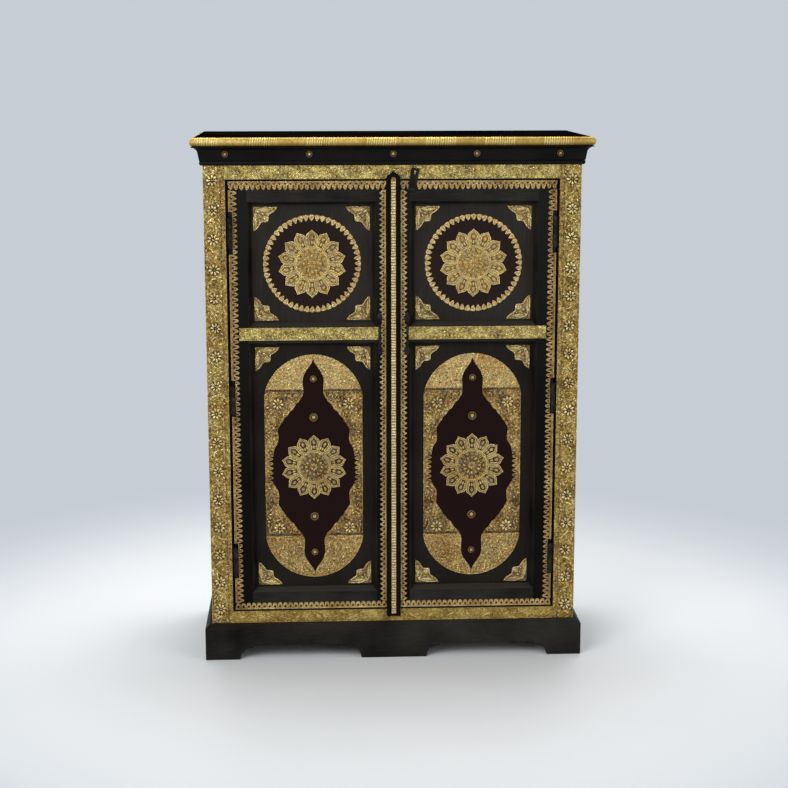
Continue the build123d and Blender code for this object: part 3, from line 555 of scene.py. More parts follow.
def makeStage():
    floor = newShape("floor", bpy.ops.mesh.primitive_circle_add, vertices=96, radius=14, fill_type="NGON",
                     location=(0, 0, -0.0005))
    # pale painted floor that runs out into the backdrop within two metres
    material = newMaterial("paleFloor")
    place = addNode(material, "TexCoord").outputs["Object"]
    haze = addNode(material, "TexNoise", {"Vector": place, "Scale": 1.2, "Detail": 2})
    tone = addNode(material, "ValToRGB", {"Fac": haze}, ((0.3, stage["floorHaze"]), (0.7, stage["floor"])))
    paint = addNode(material, "BsdfPrincipled", {"Base Color": tone, "Roughness": 0.6,
                                                 "Specular IOR Level": 0.2})
    away = addNode(material, "VectorMath", {0: place}, operation="LENGTH")
    fade = addNode(material, "MapRange", {"Value": away, "From Min": stage["fadeFrom"],
                                          "From Max": stage["fadeTo"]}, interpolation_type="SMOOTHERSTEP")
    backdrop = addNode(material, "Emission", {"Color": stage["backdrop"], "Strength": 1.0})
    mix = addNode(material, "MixShader", {0: fade, 1: paint, 2: backdrop})
    addNode(material, "OutputMaterial", {"Surface": mix})
    floor.data.materials.append(material)

    world = bpy.data.worlds.new("studio")
    bpy.context.scene.world = world
    world.use_nodes = True
    world.node_tree.nodes.clear()
    rays = addNode(world, "LightPath").outputs["Is Camera Ray"]
    sky = addNode(world, "Background", {"Color": "#ffffff", "Strength": stage["skyLight"]})
    backdrop = addNode(world, "Background", {"Color": stage["backdrop"], "Strength": 1.0})
    mix = addNode(world, "MixShader", {0: rays, 1: sky, 2: backdrop})
    addNode(world, "OutputWorld", {"Surface": mix})

    for name, (where, target, size, power) in stage["lamps"].items():
        lamp = newShape(name, bpy.ops.object.light_add, type="AREA", location=where)
        lamp.data.size = size
        lamp.data.energy = power
        lamp.rotation_euler = (Vector(target) - Vector(where)).to_track_quat("-Z", "Y").to_euler()

    camera = newShape("Camera", bpy.ops.object.camera_add, location=stage["cameraAt"])
    yaw, pitch, roll = (math.radians(stage[turn]) for turn in ("yaw", "pitch", "roll"))
    camera.rotation_euler = (Matrix.Rotation(-yaw, 3, "Z") @ Matrix.Rotation(math.pi / 2 - pitch, 3, "X")
                             @ Matrix.Rotation(-roll, 3, "Z")).to_euler()
    camera.data.lens = stage["lens"]
    camera.data.sensor_width = 36
    camera.data.clip_end = 200
    bpy.context.scene.camera = camera
    bpy.context.scene.view_settings.view_transform = "Standard"


makeStage()
print("stage made")


# what every chased sheet is made of: a beaten ground with flowers, curls, leaves and beads on it

def makeFlower(name, length, width, root, rise, petals=8):
    # a ring of petals round a bead
    petal = emboss("petal", leafOutline(length, width, belly=1.25, root=root),
                   [(0, 0.3), (width * 0.14, rise * 0.6), (width * 0.12, rise * 0.3)], peak=rise * 0.15)
    copies = stampCopies(petal, [(0, 0, 0, 360 / petals * i, 1.0) for i in range(petals)])
    bead = emboss("bead", roundOutline(root * 0.7),
                  [(0, 0.3), (root * 0.2, rise * 0.5), (root * 0.2, rise * 0.2)], peak=rise * 0.1)
    dropShapes(petal)
    return joinAll(name, [bead] + copies)


def makeCurl(radius, turns, width=1.8, rise=1.2):
    # a vine's curl, from its outer end inwards
    count = int(8 * turns)
    points = [onCircle(radius * (1 - 0.8 * i / count), 360 * turns * i / count) for i in range(count + 1)]
    return drawWire("curl", points, width, rise, steps=2)


def makeSheet(box, base, look):
    # a beaten sheet: a fine grid pushed in and out by a cell texture, then closed at the back
    x0, x1, z0, z1 = box
    wide, tall, thickness = x1 - x0, z1 - z0, look["sheet"]
    sheet = newShape("sheet", bpy.ops.mesh.primitive_grid_add, size=1, rotation=(math.pi / 2, 0, 0),
                     x_subdivisions=round(wide / look["cell"]), y_subdivisions=round(tall / look["cell"]),
                     location=((x0 + x1) / 2 * mm, (base - thickness) * mm, (z0 + z1) / 2 * mm))
    sheet.scale = (wide * mm, tall * mm, 1)
    bpy.ops.object.transform_apply()
    texture = bpy.data.textures.new("beaten", "VORONOI")
    texture.noise_scale = look["pebble"] * mm
    push = sheet.modifiers.new("beaten", "DISPLACE")
    push.texture = texture
    push.strength = look["dent"] * mm
    push.mid_level = 0.6
    bpy.ops.object.modifier_apply(modifier="beaten")
    bpy.data.textures.remove(texture)
    startEdit(sheet)
    bpy.ops.mesh.select_all(action="DESELECT")
    bpy.ops.mesh.select_non_manifold()
    bpy.ops.mesh.extrude_region_move(TRANSFORM_OT_translate={"value": (0, 1.5 * thickness * mm, 0)})
    bpy.ops.transform.resize(value=(1, 0, 1), orient_type="GLOBAL", center_override=(0, base * mm, 0))
    closeShell()
    endEdit()
    return sheet


def throwOrnament(dice, box, tries, fits, shapes, ground, taken):
    # shapes thrown over the ground and kept clear of what is taken; a shape comes with the share of
    # the throws that it ends at, its reach and the ways that it may point
    x0, x1, z0, z1 = box
    copies = []
    for tried in range(tries):
        x, z, kind = dice.uniform(x0, x1), dice.uniform(z0, z1), dice.random()
        shape, share, reach, turns = next(entry for entry in shapes if kind < entry[1])
        if not fits(x, z, reach) or any(math.hypot(x - tx, z - tz) < reach + tr for tx, tz, tr in taken):
            continue
        taken.append((x, z, reach * 0.8))
        turn = dice.choice(turns) + dice.uniform(-25, 25)
        size = (dice.uniform(0.9, 1.1), dice.uniform(0.7, 1.0), dice.uniform(0.9, 1.1))
        copies += stampCopies(shape, [(x, ground, z, turn, size)])
    return copies


# body stiles: a column of flowers between curled leaves, with a narrow beaded strip beside the doors

stile = {
    "sheet": 0.8, "cell": 2.4, "dent": 1.1, "pebble": 8, "border": 8.5, "flowerPitch": 73.5, "beadPitch": 6.6,
    "tries": 9000, "seed": 11,
}


def makeStile():
    dice = random.Random(stile["seed"])
    inner, outer, bottom, top = brassInner, bodyEdge, brassBottom, brassTop
    border = inner + stile["border"]
    ground = faceY - stile["sheet"]
    sheet = makeSheet((inner, outer, bottom, top), faceY, stile)
    flower = makeFlower("flower", 12.5, 7.0, 3.0, 1.9)
    crescent = emboss("crescent", leafOutline(27, 4.6, bend=6, root=-13.5),
                      [(0, 0.3), (0.8, 0.8), (0.7, 0.4)], peak=0.2)
    leaf = emboss("leaf", leafOutline(11, 4.4, belly=0.8, bend=1.3, count=5, root=-5.5),
                  [(0, 0.3), (0.7, 0.8), (0.5, 0.2)], peak=0.2)
    curl = makeCurl(4.6, 1.0)
    bead = emboss("bead", roundOutline(2.0, 6), [(0, 0.2), (0.7, 0.6)], peak=0.3)
    count = round((top - bottom) / stile["flowerPitch"])
    pitch = (top - bottom) / count
    flowers = [((border + outer) / 2 + dice.uniform(-1.5, 1.5), top - pitch * (i + 0.5) + dice.uniform(-2, 2))
               for i in range(count)]
    taken = [(x, z, 14) for x, z in flowers]
    parts = stampCopies(flower, [(x, ground, z, dice.uniform(-15, 15), dice.uniform(0.92, 1.08))
                                 for x, z in flowers])
    for i, (x, z) in enumerate(flowers):
        side = 1 if i % 2 else -1
        parts += stampCopies(crescent, [(x + side * dice.uniform(1, 5), ground, z - 27 + dice.uniform(-3, 3),
                                         side * -60 + dice.uniform(-12, 12), dice.uniform(0.8, 1.0))])
        taken += [(x + side * 3 + shift, z - 27 + side * shift * 0.5, 4) for shift in (-9, -3, 3, 9)]

    def fits(x, z, reach):
        return border + reach < x < outer - 1 - reach and bottom + reach < z < top - reach

    shapes = [(leaf, 0.6, 4.4, (35, -35, 145, -145)), (curl, 0.78, 4.9, (0, 90, 180, 270)),
              (bead, 1.0, 2.1, (0,))]
    parts += throwOrnament(dice, (inner, outer, bottom, top), stile["tries"], fits, shapes, ground, taken)
    step = stile["beadPitch"]
    parts += stampCopies(bead, [(inner + stile["border"] / 2 + 0.3, ground, bottom + step * (i + 0.5), 0,
                                 (0.7, 0.5, dice.uniform(0.8, 1.5)))
                                for i in range(int((top - bottom) / step))])
    for x, width in ((inner + 0.8, 1.6), (border, 1.6), (outer - 0.9, 1.8)):
        parts.append(drawWire("rim", [(x, ground, bottom), (x, ground, top)], width))
    right = joinAll("stile_chasing_right", [sheet] + parts)
    dropShapes(flower, crescent, leaf, curl, bead)
    left = mirrorCopy("stile_chasing_left", right)

    def darkAt(x, z):
        # dark between the petals and along the strip's inner line
        near = min(math.hypot(abs(x) - fx, z - fz) for fx, fz in flowers)
        line = abs(abs(x) - inner - stile["border"] - 2.4)
        return max(0.9 if near < 4 else 0.55 if near < 15 else 0, 0.35 if line < 2.4 else 0,
                   0.25 * math.sin(z / 17 + x / 9))

    for piece, nodes in ((right, ["stile_brass"]), (left, [])):
        markRelief(piece, faceY - 0.5, faceY - 2.4)
        markPatina(piece, darkAt)
        dress(piece, stileBrass, "carcass", "brass_sheet", *nodes)


makeStile()
print("stiles chased")


# rails: a running vine with curls and leaves, and slanting leaves alone where the vine has no swing

rail = {
    "sheet": 0.8, "cell": 2.4, "dent": 1.0, "pebble": 7, "unit": 49, "throwsPerMetre": 4337, "seed": 23,
    # left, right, lower and upper edge, and the vine's swing
    "top": (-brassInner, brassInner, 1237, brassTop, 8),
    "bottom": (-brassInner, brassInner, brassBottom, 125, 0),
    "door": (38, 387, 834, 866, 7),
}


def makeRail(which, shapes, dice):
    x0, x1, z0, z1, waves = rail[which]
    ground = faceY - rail["sheet"]
    middle = (z0 + z1) / 2
    leaf, curl, bead, blade = shapes
    parts, taken = [makeSheet((x0, x1, z0, z1), faceY, rail)], []
    count = round((x1 - x0) / rail["unit"])
    pitch = (x1 - x0) / count
    if waves:
        points = []
        for i in range(count * 4 + 1):
            swing = (0, waves, 0, -waves)[i % 4]
            points.append((x0 + pitch * i / 4, ground, middle + swing * dice.uniform(0.8, 1.15)))
        parts.append(drawWire("stem", points, 2.2))
        for (xa, y, za), (xb, y, zb) in zip(points, points[1:]):
            taken += [(xa + (xb - xa) * t, za + (zb - za) * t, 1.3) for t in (0, 0.25, 0.5, 0.75)]
    else:
        for i in range(count):
            x = x0 + pitch * (i + 0.5) + dice.uniform(-3, 3)
            turn = dice.choice((52, 128, 58, 60)) + dice.uniform(-9, 9)
            parts += stampCopies(blade, [(x, ground, middle, turn, dice.uniform(0.75, 1.0))])
            taken += [(x + shift, middle + shift * 0.5, 4) for shift in (-8, 0, 8)]

    def fits(x, z, reach):
        return x0 + reach < x < x1 - reach and z0 + 1.2 + reach < z < z1 - 1.2 - reach

    kinds = [(curl, 0.3, 4.6, (0, 90, 180, 270)), (leaf, 0.75, 3.7, (40, -40, 140, -140, 90)),
             (bead, 1.0, 1.9, (0,))]
    tries = int(rail["throwsPerMetre"] * (x1 - x0) * mm)
    parts += throwOrnament(dice, (x0, x1, z0, z1), tries, fits, kinds, ground, taken)
    for z in (z0 + 0.8, z1 - 0.8):
        parts.append(drawWire("rim", [(x0, ground, z), (x1, ground, z)], 1.6))
    return parts


def makeRails():
    dice = random.Random(rail["seed"])
    leaf = emboss("leaf", leafOutline(10, 4.2, belly=0.8, bend=1.4, count=5, root=-5),
                  [(0, 0.3), (0.7, 0.7), (0.5, 0.2)], peak=0.2)
    blade = emboss("blade", leafOutline(24, 8, belly=0.8, bend=2.2, root=-12),
                   [(0, 0.3), (1.2, 0.7), (0.9, -0.2), (0.7, 0.3)], peak=0.2)
    curl = makeCurl(4.4, 1.1)
    bead = emboss("bead", roundOutline(1.8, 6), [(0, 0.2), (0.6, 0.6)], peak=0.3)
    shapes = leaf, curl, bead, blade
    relief = faceY - 0.5, faceY - 2.2

    def darkAt(x, z):
        return 0.3 * math.sin(x / 13) * math.sin(x / 31 + z / 9)

    for which, material, nodes in (("top", railBrass, ["rail_brass"]), ("bottom", lowRailBrass, [])):
        piece = joinAll(f"{which}_rail_chasing", makeRail(which, shapes, dice))
        markRelief(piece, *relief)
        markPatina(piece, darkAt)
        dress(piece, material, "carcass", "brass_sheet", *nodes)
    dressDoors("middle_rail_chasing", makeRail("door", shapes, dice), railBrass, "brass_sheet",
               "middle_rail_brass", relief, darkAt)
    dropShapes(*shapes)


makeRails()
print("rails chased")


# nosing: a half-round brass bead with ribbed and plain stretches, mitred at the corners

nosing = {
    "radius": 11.0, "centreOut": 18.5, "level": 1328.5, "back": 215,
    "rib": 0.42, "ribWidth": 2.8, "ribPitch": 5.8, "slant": 9, "seed": 5,
    # patches of ribs, their pitch and where one has its middle, on the front and on the sides
    "ribsInPatch": 13, "patch": 146, "frontShift": -30, "sideShift": -125,
}


def makeNosing():
    frontAt = faceY - nosing["centreOut"]
    sideAt = bodyEdge + nosing["centreOut"]
    level, radius = nosing["level"], nosing["radius"]
    pieces = []
    # three rods, longer than needed until they are cut
    for x, y, turn, length in ((0, frontAt, 0, 1100), (sideAt, 0, 90, 600), (-sideAt, 0, 90, 600)):
        run = newShape("run", bpy.ops.mesh.primitive_cylinder_add, vertices=32, radius=radius * mm,
                       depth=length * mm, location=(x * mm, y * mm, level * mm),
                       rotation=(0, math.pi / 2, math.radians(turn)))
        bpy.ops.object.transform_apply()
        # cut along its back and at its ends, keeping the side that the last two numbers point to
        if turn == 0:
            cuts = [(x, y, 0, -1), (sideAt, frontAt, -1, -1), (-sideAt, frontAt, 1, -1)]
        else:
            outward = math.copysign(1, x)
            cuts = [(x, y, outward, 0), (x, frontAt, outward, 1), (0, nosing["back"], 0, -1)]
        startEdit(run)
        for atX, atY, keepX, keepY in cuts:
            bpy.ops.mesh.select_all(action="SELECT")
            bpy.ops.mesh.bisect(plane_co=(atX * mm, atY * mm, level * mm), plane_no=(-keepX, -keepY, 0),
                                clear_outer=True, use_fill=True)
        endEdit()
        pieces.append(run)
    # one rib, half a hoop round the bead
    hoop = newShape("hoop", bpy.ops.mesh.primitive_torus_add, major_segments=20, minor_segments=5,
                    major_radius=radius * mm, minor_radius=nosing["rib"] * mm, rotation=(0, math.pi / 2, 0))
    bpy.ops.object.transform_apply()
    startEdit(hoop)
    bpy.ops.transform.resize(value=(nosing["ribWidth"], 1, 1), center_override=(0, 0, 0))
    bpy.ops.mesh.bisect(plane_co=(0, 0.001, 0), plane_no=(0, 1, 0), clear_outer=True, use_fill=True)
    endEdit()
    dice = random.Random(nosing["seed"])
    ribs = [(i - nosing["ribsInPatch"] // 2) * nosing["ribPitch"] for i in range(nosing["ribsInPatch"])]
    places = []  # none on the mitres or at the back end
    for patch in range(-3, 4):
        for along in ribs:
            x = patch * nosing["patch"] + nosing["frontShift"] + along + dice.uniform(-0.4, 0.4)
            if abs(x) < 480:
                places.append((x, frontAt, 0))
    for patch in range(3):
        for along in ribs:
            y = patch * nosing["patch"] + nosing["sideShift"] + along
            if frontAt + 12 < y < 205:
                places += [(sideAt, y, 90), (-sideAt, y, -90)]
    for x, y, turn in places:
        rib = copyShape(hoop)
        rib.location = (x * mm, y * mm, level * mm)
        rib.rotation_euler = (0, math.radians(nosing["slant"] + dice.uniform(-3, 3)), math.radians(turn))
        rib.scale = (dice.uniform(0.7, 1.2), 1, 1)
        pieces.append(rib)
    dropShapes(hoop)
    bead = joinAll("nosing_bead", pieces)
    heights = bead.data.attributes.new("relief", "FLOAT", "POINT")
    for vertex, height in zip(bead.data.vertices, heights.data):
        # painted highlight along its middle and painted shade above and underneath, as on a round bead lit
        # from the front; rubbed bright on the ribs
        x, y, z = (c / mm for c in vertex.co)
        out = max(abs(x) - sideAt, frontAt - y)
        lift = (z - level - 2) / radius
        height.value = min(max(0.6 - 0.5 * lift ** 2 + (math.hypot(out, z - level) - radius) * 1.1, 0), 1)
    markPatina(bead, lambda x, z: 0.25 * math.sin(x / 23))
    dress(bead, beadBrass, "carcass", "brass_sheet", "nosing_brass")


makeNosing()
print("nosing made")


# toothed edging round the doors: a rim, a row of pressed eyes and a row of teeth

edging = {
    "pitch": 13.3, "plate": 0.9, "bottom": 130, "top": 1232, "outer": 409, "meeting": 18,
    "sideWidth": 22, "bottomWidth": 18, "hingeLevels": (258, 681, 1104), "hingeReach": 40.5, "hingeCut": 9.6,
    "seed": 31,
}


def makeTooth(name, root, tooth, eye, ridges, cut=0.0):
    # one pitch of edging, with x along the door's edge and z away from it; a ridge is (points, width, closed)
    half = edging["pitch"] / 2 + 0.05
    plate = emboss(name, [(-half, cut), (half, cut), (half, root)] + tooth + [(-half, root)],
                   [(0, edging["plate"])])
    cutShape(plate, eye, "DIFFERENCE")
    parts = [drawWire("ridge", [(x, -edging["plate"], z) for x, z in ridge], width, closed=closed, steps=2)
             for ridge, width, closed in ridges]
    return joinAll(name, [plate] + parts)


def makeEdging():
    dice = random.Random(edging["seed"])
    half = edging["pitch"] / 2 + 0.05
    rim = ([(-half, 1.2), (half, 1.2)], 1.7, False)
    drop = makeTooth(
        "drop", 9.6, mirrored([(5.0, 10.2), (5.4, 13.2), (4.5, 17.2), (2.2, 20.8), (0, 22)]),
        [(-3.8, 4.8), (3.8, 4.8), (0, 9.8)],
        [rim, ([(-half, 3.6), (half, 3.6)], 1.0, False),
         ([(-3.8, 12), (0, 10.8), (3.8, 12), (3.1, 16.8), (0, 20.4), (-3.1, 16.8)], 2.0, True)])
    point = makeTooth(
        "point", 8.6, mirrored([(5.9, 9.2), (5.3, 13.2), (4.0, 17.6), (2.0, 20.9), (0, 22)]),
        [(-2.9, 6.2), (2.9, 6.2), (1.2, 11.6), (-1.2, 11.6)],
        [rim, ([(-5.5, 7.4), (-4.0, 13.2), (-2.2, 18.2), (0, 20.2), (2.2, 18.2), (4.0, 13.2), (5.5, 7.4)],
               2.1, False)])
    hinged = makeTooth(
        "hinged", 11.2, mirrored([(5.8, 11.6), (5.2, 14.4), (4.0, 18.0), (2.0, 21.0), (0, 22)]),
        [(-1.9, 11.8), (1.9, 11.8), (0, 15.4)],
        [([(-half, 10.6), (half, 10.6)], 1.4, False),
         ([(-5.1, 11.8), (-3.9, 15.4), (-2.2, 18.6), (0, 20.4), (2.2, 18.6), (3.9, 15.4), (5.1, 11.8)],
          1.9, False)], cut=edging["hingeCut"])
    dome = makeTooth(
        "dome", 8.4, mirrored([(5.8, 8.8), (5.8, 12.2), (4.7, 15.6), (2.3, 17.6), (0, 18)]),
        [(x, z + 7.2) for x, z in roundOutline(3.0)],
        [rim, ([(-5.0, 6.5), (-4.2, 11.8), (0, 14.2), (4.2, 11.8), (5.0, 6.5)], 1.9, False)])
    fin = makeTooth(
        "fin", 5.6, [(6.3, 6.0), (6.3, 9.2), (4.4, 13.4), (1.4, 16.6), (-0.7, 17), (-1.2, 14.4), (-2.8, 11.8),
                     (-5.7, 10.2), (-6.2, 6.0)],
        [(-3.6, 4.4), (3.6, 4.4), (1.4, 10.4)],
        [rim, ([(-5.4, 7.4), (-0.8, 11.4), (0.2, 15.6)], 1.8, False),
         ([(5.4, 6.4), (3.6, 12), (0.2, 15.6)], 1.6, False)])
    bottom, top, outer, meeting = edging["bottom"], edging["top"], edging["outer"], edging["meeting"]
    low, high = bottom + edging["bottomWidth"], top - edging["sideWidth"]

    def row(start, end):
        # the teeth's places along an edge, each with the stretch that makes a whole number fit
        count = round((end - start) / edging["pitch"])
        pitch = (end - start) / count
        return [(start + (end - start) * (i + 0.5) / count, pitch / edging["pitch"]) for i in range(count)]

    def loose(stretch):
        return stretch, dice.uniform(0.92, 1.08), dice.uniform(0.96, 1.0)

    parts = stampCopies(drop, [(x, faceY, top, 180, loose(stretch)) for x, stretch in row(meeting, outer)])
    parts += stampCopies(dome, [(x, faceY, bottom, 0, loose(stretch)) for x, stretch in row(meeting, outer)])
    parts += stampCopies(fin, [(meeting, faceY, z, 90, loose(stretch)) for z, stretch in row(low, high)])
    for z, stretch in row(low, high):
        reach = edging["hingeReach"] + edging["pitch"] / 2
        near = any(abs(z - level) < reach for level in edging["hingeLevels"])
        parts += stampCopies(hinged if near else point, [(outer, faceY, z, -90, loose(stretch))])

    def darkAt(x, z):
        # the strips by the hinges are the brownest, the ones by the batten and below are handled most
        shade = 0.35 if abs(x) > outer - 24 else -0.2 if abs(x) < meeting + 20 or z < low else 0
        return shade + 0.25 * math.sin(x / 19) * math.sin(z / 27)

    dressDoors("edging", parts, edgingBrass, "brass_relief", "edging_brass", (faceY - 0.3, faceY - 1.8),
               darkAt)
    dropShapes(drop, hinged, dome, fin)
    return point


sideTooth = makeEdging()
print("edging made")


# rosettes: fourteen petals with nested ridges round a disc of leaves and beads

rosette = {"levels": (ringLevel, medallionLevel), "sizes": (1.0, 0.975), "petals": 14, "disc": 43}


def makePetal():
    side = [(8.6, 38), (11.3, 50), (14.0, 62), (15.6, 69), (13.9, 74), (9.6, 78), (4.6, 81.8), (0, 86.5)]
    outline = [(-8.6, 38)] + side + [(-x, z) for x, z in side[-2:0:-1]]
    petal = emboss("petal", outline, [(0, 1.2), (0.5, 0.7), (2.3, 0), (0.5, -1.2), (1.0, 0), (0.5, 1.1),
                                      (1.9, 0), (0.5, -1.1)])
    core = emboss("core", leafOutline(11.5, 7.2, belly=1.2, root=60.5),
                  [(0, 0.9), (0.4, 0.6), (1.1, 0), (0.4, -1.1), (0.5, 0), (0.3, 0.9)], peak=0.2)
    core.location = (0, -0.9 * mm, 0)
    stroke = emboss("stroke", leafOutline(10.5, 3.4, belly=0.9), [(0, 0.3), (0.5, 0.8)], peak=0.3)
    strokes = stampCopies(stroke, [(way * x, -0.9, z, way * turn, 1.0)
                                   for x, z, turn in ((5.2, 49, 4), (8.4, 58, 2), (0.9, 48, 0))
                                   for way in (1, -1)])
    dropShapes(stroke)
    petal = joinAll("petal", [petal, core] + strokes)
    markRelief(petal, -0.9, -1.8)
    return petal


def makeDisc():
    disc = emboss("disc", roundOutline(rosette["disc"], 42),
                  [(0, 1.2), (0.8, 0.6), (1.3, 0), (0.6, -0.6), (9, 0.1), (12, 0.1), (11, 0.1)])
    scale = emboss("scale", leafOutline(12.5, 8.6, belly=1.3, count=5),
                   [(0, 0.3), (0.5, 0.9), (1.3, 0), (0.5, -0.8)])
    leaf = emboss("leaf", leafOutline(9.5, 6.2, belly=1.2, count=4), [(0, 0.3), (0.7, 0.8)], peak=0.2)
    bead = emboss("bead", roundOutline(1.9, 7), [(0, 0.3), (0.6, 0.8)], peak=0.3)
    flower = makeFlower("heart", 8.5, 5.4, 2.4, 1.3)
    flower.location = (0, -1.3 * mm, 0)
    parts = [disc, flower]
    for shape, count, radius, size, rise, shift in (
            (scale, 16, 27.5, 1.0, 1.2, 0), (bead, 16, 37.2, 1.0, 1.2, 0.5),
            (leaf, 12, 15.5, 1.0, 1.3, 0), (bead, 12, 24.2, 0.9, 1.3, 0.5)):
        for i in range(count):
            angle = 360 / count * (i + shift)
            x, z = onCircle(radius, angle)
            parts += stampCopies(shape, [(x, -rise, z, angle, size)])
    dropShapes(scale, leaf, bead)
    disc = joinAll("disc", parts)
    markRelief(disc, -0.8, -2.3)
    return disc


def makeRosettes():
    petal, count = makePetal(), rosette["petals"]
    petals = stampCopies(petal, [(0, 0, 0, 360 / count * i, 1.0) for i in range(count)])
    shape = joinAll("rosette", [makeDisc()] + petals)
    pair = stampCopies(shape, [(panelX, panelY, level, 0, (size, 1, size))
                               for level, size in zip(rosette["levels"], rosette["sizes"])])
    dropShapes(petal, shape)

    def darkAt(x, z):
        # old polish lies dark round the petals' roots, and the lower rosettes are browner
        level = min(rosette["levels"], key=lambda each: abs(z - each))
        reach = math.hypot(abs(x) - panelX, z - level)
        return (0.2 if reach < 58 else 0.0) + (0.7 if level == medallionLevel else 0.0)

    dressDoors("rosette_pair", pair, rosetteBrass, "brass_relief", "rosettes", darkAt=darkAt)


makeRosettes()
print("rosettes made")


# tooth ring round the upper rosette: spade leaves that touch at their shoulders

ring = {"radius": 123.5, "teeth": 52, "seed": 71}


def makeRing():
    dice = random.Random(ring["seed"])
    hoop = newShape("hoop", bpy.ops.mesh.primitive_torus_add, major_segments=104, minor_segments=6,
                    major_radius=(ring["radius"] - 2.6) * mm, minor_radius=1.0 * mm,
                    location=(panelX * mm, (panelY - 0.1) * mm, ringLevel * mm), rotation=(math.pi / 2, 0, 0))
    side = [(2.8, -11.2), (5.2, -7.2), (6.9, -3.2), (7.1, -0.6), (5.4, 1.6), (2.6, 2.9)]
    outline = [(0, -14)] + side + [(0, 3.2)] + [(-x, z) for x, z in reversed(side)]
    spade = emboss("spade", outline, [(0, 0.8), (1.3, 0.8), (1.1, 0.1), (1.2, -0.4)])
    parts = [hoop]
    for i in range(ring["teeth"]):
        angle = 360 / ring["teeth"] * i
        x, z = onCircle(ring["radius"] - 3.2, angle)
        parts += stampCopies(spade, [(panelX + x, panelY, ringLevel + z, angle + dice.uniform(-3, 3),
                                      dice.uniform(0.95, 1.02))])
    dropShapes(spade)
    dressDoors("spade_ring", parts, edgingBrass, "brass_relief", "tooth_ring", (panelY - 0.1, panelY - 1.9),
               lambda x, z: 0)


makeRing()
print("rings made")


# corner brackets: a veined leaf along each leg and a round lobe between

bracket = {"inner": 42, "outer": 364, "openings": ((866, 1183), (174, 829)), "inset": 15.5}


def makeBracket():
    leg = [(61, 0), (58, 6), (52, 12.4), (43, 17.6), (38.8, 20.6), (38.4, 26), (38.2, 32.5), (36.6, 36.6)]
    outline = [(0, 0)] + leg + [(z, x) for x, z in reversed(leg[:-1])]
    base = emboss("base", outline, [(0, 1.0)])
    rim = drawWire("rim", [(x, -1.0, z) for x, z in offsetOutline(outline, 1.6)], 3.0, closed=True, steps=2)
    leaf = emboss("leaf", leafOutline(38, 8.6, belly=0.7, bend=-1.0, count=8),
                  [(0, 0.3), (0.8, 0.6), (0.8, 0), (0.6, -0.6), (0.7, 0.5)], peak=0.2)
    small = emboss("small", leafOutline(11, 4.4, belly=0.8, count=5), [(0, 0.3), (0.8, 0.6)], peak=0.3)
    lobe = emboss("lobe", roundOutline(6.6, 14),
                  [(0, 0.3), (0.8, 0.7), (0.9, 0), (0.7, -0.8), (1.2, 0), (0.6, 0.8)], peak=0.2)
    bead = emboss("bead", roundOutline(1.6, 6), [(0, 0.2), (0.5, 0.6)], peak=0.3)
    parts = [base, rim]
    for shape, places in (
            (leaf, [(14, 7.6, 92, 1.0), (7.6, 14, -2, 1.0)]),
            (small, [(7, 7, 45, 1.1), (19, 15, 66, 0.9), (15, 19, 24, 0.9)]),
            (lobe, [(29.5, 29.5, 45, 1.0)]),
            (bead, [(35, 15.5, 0, 1), (15.5, 35, 0, 1)])):
        parts += stampCopies(shape, [(x, -1.0, z, turn, size) for x, z, turn, size in places])
    dropShapes(leaf, small, lobe, bead)
    return joinAll("bracket", parts)


def makeBrackets():
    shape = makeBracket()
    inset = bracket["inset"]
    places = []
    for low, high in bracket["openings"]:
        for x, sideways in ((bracket["inner"] + inset, 1), (bracket["outer"] - inset, -1)):
            for z, upwards in ((low + inset, 1), (high - inset, -1)):
                places.append((x, panelY, z, 0, (sideways, 1, upwards)))
    dressDoors("bracket_set", stampCopies(shape, places), cornerBrass, "brass_relief", "corner_brackets",
               (panelY - 0.8, panelY - 2.2), lambda x, z: 0.4)
    dropShapes(shape)


makeBrackets()
print("brackets made")


# spandrels: a capsule of chased brass, cut away round the medallion; places are from its middle

spandrel = {
    "halfWidth": 125, "halfHeight": 292, "straight": 189, "sheet": 1.2, "cell": 2.3, "dent": 1.0, "pebble": 6,
    "seams": (199.5, -178.5), "flowers": ((90.5, 165), (90.5, -161.5)), "waist": (-46, 28), "waistEdge": 104,
    "scallopPitch": 6.1, "dashPitch": 4.8, "tries": 7000, "seed": 47,
    # a quarter of the medallion's edge, from its point to its waist
    "edge": [(0.4, 280), (4.5, 270), (10, 261.5), (16.5, 253), (21.8, 244.5), (25.5, 235), (27, 225),
             (26.6, 214), (25.6, 203), (25.4, 195), (27, 187), (31, 180), (35, 175), (37, 171), (43, 166.5),
             (47, 160.5), (50, 155), (53.5, 149.5), (60, 146.5), (63.5, 141), (66.5, 135), (72, 131.5),
             (75.5, 125.5), (78, 119), (84, 114), (86, 107.5), (90.5, 102.5), (92.5, 96), (91, 87),
             (90.2, 77), (90.2, 68), (92.5, 61.5), (97, 56), (100.5, 49), (102, 42), (104, 36)],
}


def capsuleEdge(count=14):
    # outer edge from the bottom point to the top, anticlockwise
    half, tall, straight = spandrel["halfWidth"], spandrel["halfHeight"], spandrel["straight"]
    chord = tall - straight
    radius = (half ** 2 + chord ** 2) / (2 * chord)
    turns = [math.asin(half / radius) * i / count for i in range(count, -1, -1)]
    arc = [(max(radius * math.sin(turn), 0.4), tall - radius + radius * math.cos(turn)) for turn in turns]
    return [(x, -z) for x, z in reversed(arc)] + arc


def insideOutline(x, z, outline):
    inside = False
    for (x0, z0), (x1, z1) in zip(outline, outline[1:] + outline[:1]):
        if (z0 > z) != (z1 > z) and x < x0 + (z - z0) / (z1 - z0) * (x1 - x0):
            inside = not inside
    return inside


